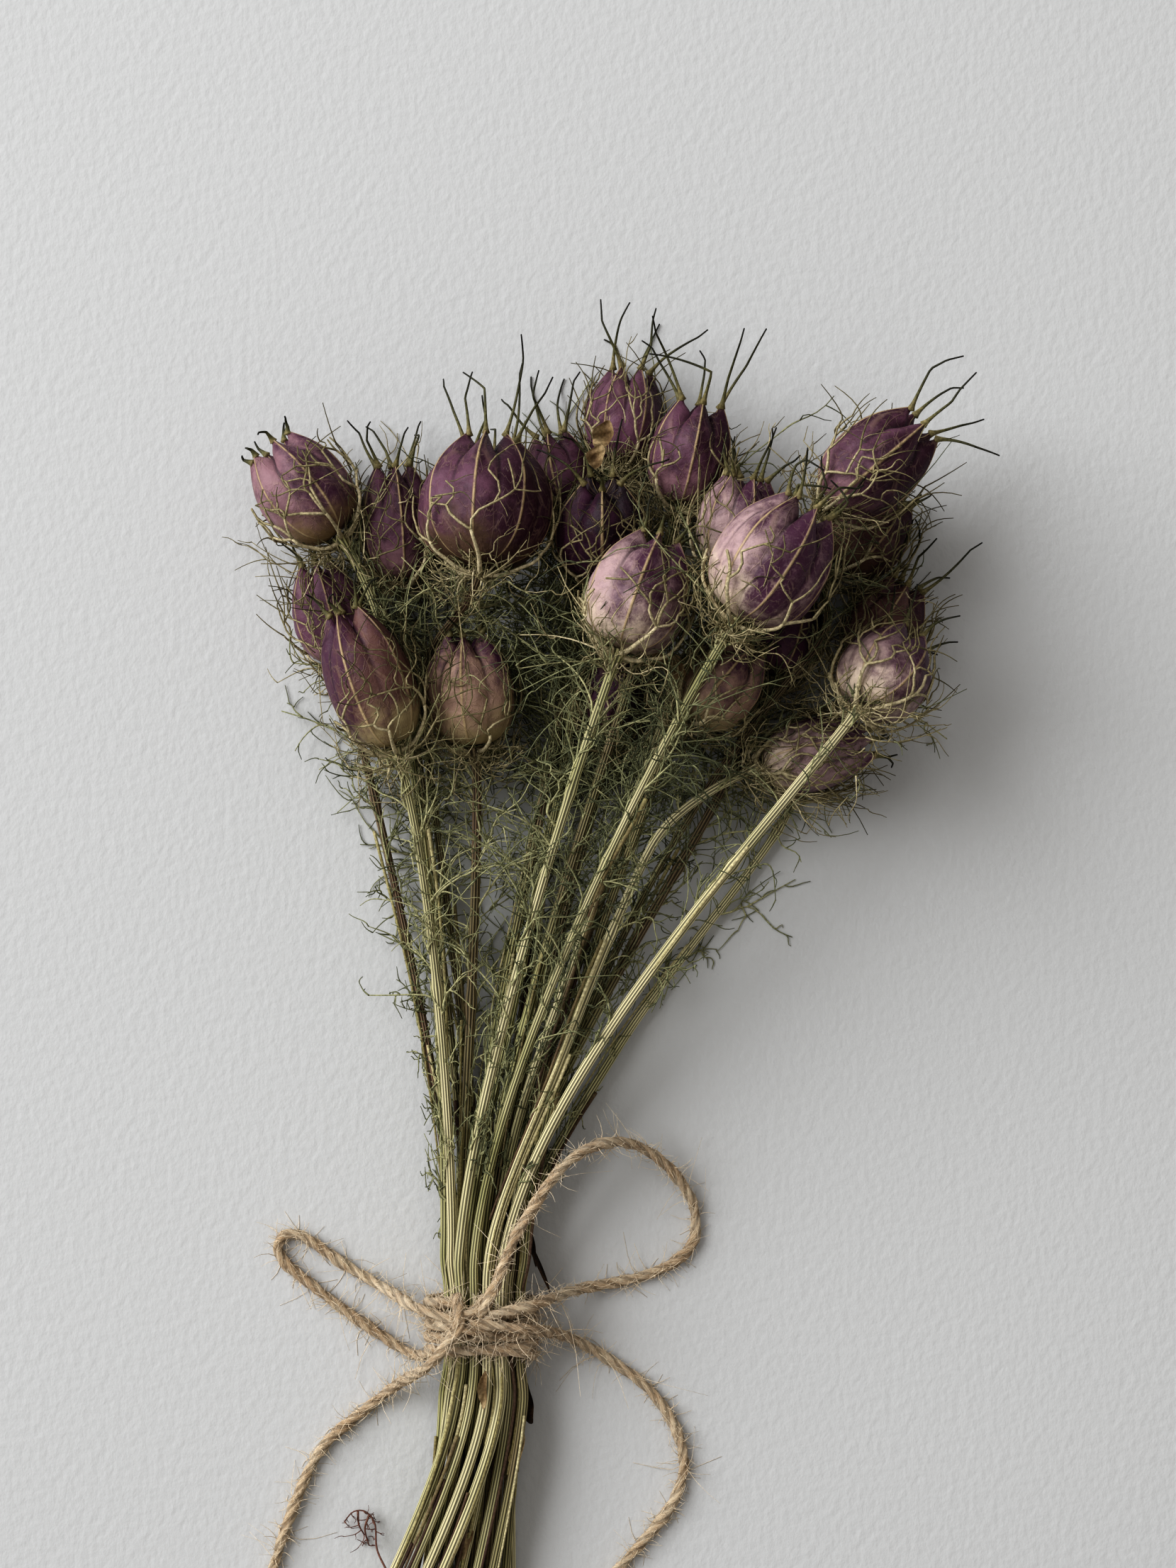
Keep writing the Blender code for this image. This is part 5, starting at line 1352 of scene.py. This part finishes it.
class NIGELLA_OT_leaves(Operator):
    """The thread leaves on the stalks"""

    bl_idname = "nigella.leaves"
    bl_label = "Leaves"

    def execute(self, context):
        settings = context.scene.nigella_threads
        rng = np.random.default_rng(SEED + 9)
        leaf = thread_paint("thread_leaf", ((0.0, tuple(settings.leaf_root)), (0.45, (0.36, 0.36, 0.20)),
                                            (1.0, tuple(settings.leaf_tip))))
        lines = stem_lines()
        for pod, line in zip(PODS, lines):
            sparse = 0.55 if pod.middle[0] > 45.0 else 1.0
            lowest = TIE[1] + (13.0 if pod.middle[0] < -45.0 else 26.0)
            reach = line[(line[:, 1] < line[0, 1] - 3.0) & (line[:, 1] > lowest)]
            if len(reach) < 8:
                continue
            number = max(2, int(len(reach) * 1.6 / settings.leaf_spacing * sparse))
            k = np.clip((np.linspace(0.01, 0.98, number) ** 1.45 * len(reach)).astype(int), 1, len(reach) - 2)
            climb = unit(reach[k - 1] - reach[k + 1])
            side = unit(np.cross(climb, rng.normal(0.0, 1.0, (number, 3))))
            high = smooth_step((reach[k, 1] + 95.0) / 85.0)[:, None]
            way = unit(climb + side * rng.uniform(0.1, 0.2 + 0.5 * high, (number, 1)))
            lengths = rng.uniform(9.0, 17.0, number) * (0.6 + 0.4 * high[:, 0]) * (0.6 + 0.4 * sparse)
            lengths = lengths * (0.72 if pod.middle[0] < -45.0 else 1.0)
            shell = Shell()
            shift = rng.normal(0.0, 0.2)
            for paths, radii, young, old in spray(rng, reach[k], way, lengths, np.full(number, LEAF_RADIUS),
                                                  (6, 2), 0.8, 0.0, 0.62):
                near = 0.4 + 0.6 * smooth_step((paths[..., 1] + 75.0) / 75.0)
                for axis, hug in ((0, near), (2, 0.6 * near)):
                    stalk = np.interp(paths[..., 1], line[::-1, 1], line[::-1, axis])
                    paths[..., axis] = stalk + (paths[..., axis] - stalk) * hug
                paths = off_stems(keep_out(paths, 0.4), lines, 0.25)
                ages = ageing(paths, young, old, rng, shift, 0.16)
                kept = off_faces(paths, rng, 0.75)
                shell.threads(paths[kept], radii[kept], 3, ages[kept])
            shell.make("leaves_" + pod.name, [leaf], "stem")

        spots = np.repeat(np.array(TANGLES), 4, axis=0) + rng.normal(0.0, 2.5, (4 * len(TANGLES), 3))
        stalks = np.concatenate(lines)
        stalks = stalks[stalks[:, 1] > -40.0]
        nearest = np.linalg.norm(spots[:, None] + (0.0, -9.0, 0.0) - stalks[None], axis=2).argmin(axis=1)
        roots = stalks[nearest]
        lengths = np.clip(np.linalg.norm(spots - roots, axis=1) * 1.25, 10.0, 24.0)
        shell = Shell()
        for paths, radii, young, old in spray(rng, roots, unit(spots - roots), lengths,
                                              np.full(len(roots), LEAF_RADIUS), (7, 2), 0.7, 0.0, 0.7):
            paths = off_stems(keep_out(paths, 0.4), lines, 0.25)
            ages = ageing(paths, young, old, rng, 0.1, 0.2)
            kept = off_faces(paths, rng, 0.9)
            shell.threads(paths[kept], radii[kept], 3, ages[kept])
        shell.make("leaves_between", [leaf], "stem")
        return {"FINISHED"}


class NIGELLA_OT_bits(Operator):
    """Dry bits caught in the bunch: papery flakes, shrivelled leaves, a brown tuft and loose straws"""

    bl_idname = "nigella.bits"
    bl_label = "Dry bits"

    def execute(self, context):
        rng = np.random.default_rng(SEED + 13)
        papery = thread_paint("papery_flake", ((0.0, (0.50, 0.38, 0.22)), (0.5, (0.36, 0.26, 0.14)),
                                               (1.0, (0.17, 0.10, 0.05))), 0.75)
        dark = thread_paint("withered_leaf", ((0.0, (0.10, 0.06, 0.035)), (0.6, (0.045, 0.028, 0.018)),
                                              (1.0, (0.016, 0.012, 0.009))), 0.7)
        tuft = thread_paint("brown_tuft", ((0.0, (0.26, 0.13, 0.09)), (0.5, (0.17, 0.075, 0.06)),
                                           (1.0, (0.10, 0.045, 0.04))), 0.7)
        straw = thread_paint("loose_straw", ((0.0, (0.74, 0.66, 0.40)), (0.35, (0.42, 0.37, 0.17)),
                                             (0.7, (0.16, 0.105, 0.065)), (1.0, (0.09, 0.05, 0.045))), 0.6)
        for name, scraps, paint in (("papery_flakes", FLAKES, papery), ("withered_leaves", WITHERED, dark)):
            shell = Shell()
            for middle, way, length, width in scraps:
                add_flake(shell, np.array(middle), np.array(way), length, width, rng)
            shell.make(name, [paint], "stem")

        shell = Shell()
        lines = stem_lines()
        stalks = np.concatenate(lines)
        start = stalks[np.linalg.norm(stalks - np.array(TUFT[0][0]), axis=1).argmin()]
        for k, line in enumerate(TUFT):
            spine = smooth_route(line if k else (tuple(start),) + line, 0.7)
            s = np.linspace(0.0, 1.0, len(spine))
            shell.threads(spine[None], 0.26 - 0.12 * s, 6, 0.4 * s)
            roots = spine[3::2] if k else spine[len(spine) // 2::2]
            ways = unit(rng.normal(0.0, 1.0, roots.shape) * (1.0, 0.6, 0.3) + (0.0, -0.9, 0.0))
            for paths, radii, young, old in spray(rng, roots, ways, rng.uniform(1.0, 2.6, len(roots)),
                                                  np.full(len(roots), TUFT_RADIUS), (2,), 0.9):
                shell.threads(raised(paths, 0.2), radii, 3, np.linspace(young, old, paths.shape[1])[None] * 0.7)
        shell.make("brown_tuft", [tuft], "stem")

        shell = Shell()
        for k in np.tile(rng.permutation(len(PODS)), 3):
            reach = lines[k][lines[k][:, 1] < 5.0]
            first = rng.integers(0, len(reach) - 20)
            run = reach[first:first + rng.integers(18, 60)]
            if len(run) < 8:
                continue
            s = np.linspace(0.0, 1.0, len(run))
            off = 1.55 + 0.45 * np.sin(s * rng.uniform(2.0, 6.0) + rng.uniform(0.0, 6.0))
            off = off * (1.0 - np.exp(-((run[:, 1] - TIE[1]) / 9.0) ** 2))
            turn = rng.uniform(0.2, 2.9) + s * rng.normal(0.0, 0.8)
            path = run + np.stack([off * np.cos(turn), np.zeros(len(run)), off * np.abs(np.sin(turn))], axis=1)
            thick = rng.uniform(0.28, 0.52) * (1.0 - 0.45 * s)
            shell.threads(path[None], thick[None], 6, np.clip(rng.uniform(-0.1, 0.9) + 0.25 * s, 0.0, 1.0))
        shell.make("loose_straws", [straw], "stem")
        return {"FINISHED"}


class NIGELLA_PT_panel(Panel):
    """The sizes and colours of the bunch"""

    bl_idname = "NIGELLA_PT_panel"
    bl_label = "Dried nigella bunch"
    bl_space_type = "VIEW_3D"
    bl_region_type = "UI"
    bl_category = "Nigella"

    def draw(self, context):
        for group, _, operators in GROUPS:
            box = self.layout.box()
            settings = getattr(context.scene, group)
            for name in settings.__annotations__:
                box.prop(settings, name)
            for operator in operators:
                box.operator(operator)


GROUPS = (
    ("nigella_stage", NigellaStage, ("nigella.stage",)),
    ("nigella_twine", NigellaTwine, ("nigella.twine",)),
    ("nigella_capsules", NigellaCapsules, ("nigella.capsules",)),
    ("nigella_stems", NigellaStems, ("nigella.stems",)),
    ("nigella_threads", NigellaThreads, ("nigella.lace", "nigella.leaves", "nigella.bits")),
)
CLASSES = (
    *(group for _, group, _ in GROUPS),
    NIGELLA_OT_stage, NIGELLA_OT_twine, NIGELLA_OT_capsules, NIGELLA_OT_stems, NIGELLA_OT_lace, NIGELLA_OT_leaves,
    NIGELLA_OT_bits, NIGELLA_PT_panel,
)


def register():
    for cls in CLASSES:
        bpy.utils.register_class(cls)
    for name, group, _ in GROUPS:
        setattr(bpy.types.Scene, name, PointerProperty(type=group))


def unregister():
    for name, _, _ in GROUPS:
        delattr(bpy.types.Scene, name)
    for cls in reversed(CLASSES):
        bpy.utils.unregister_class(cls)


def main():
    register()
    for step in (bpy.ops.nigella.stage, bpy.ops.nigella.twine, bpy.ops.nigella.capsules, bpy.ops.nigella.stems,
                 bpy.ops.nigella.lace, bpy.ops.nigella.leaves, bpy.ops.nigella.bits):
        step()


if __name__ == "__main__":
    main()
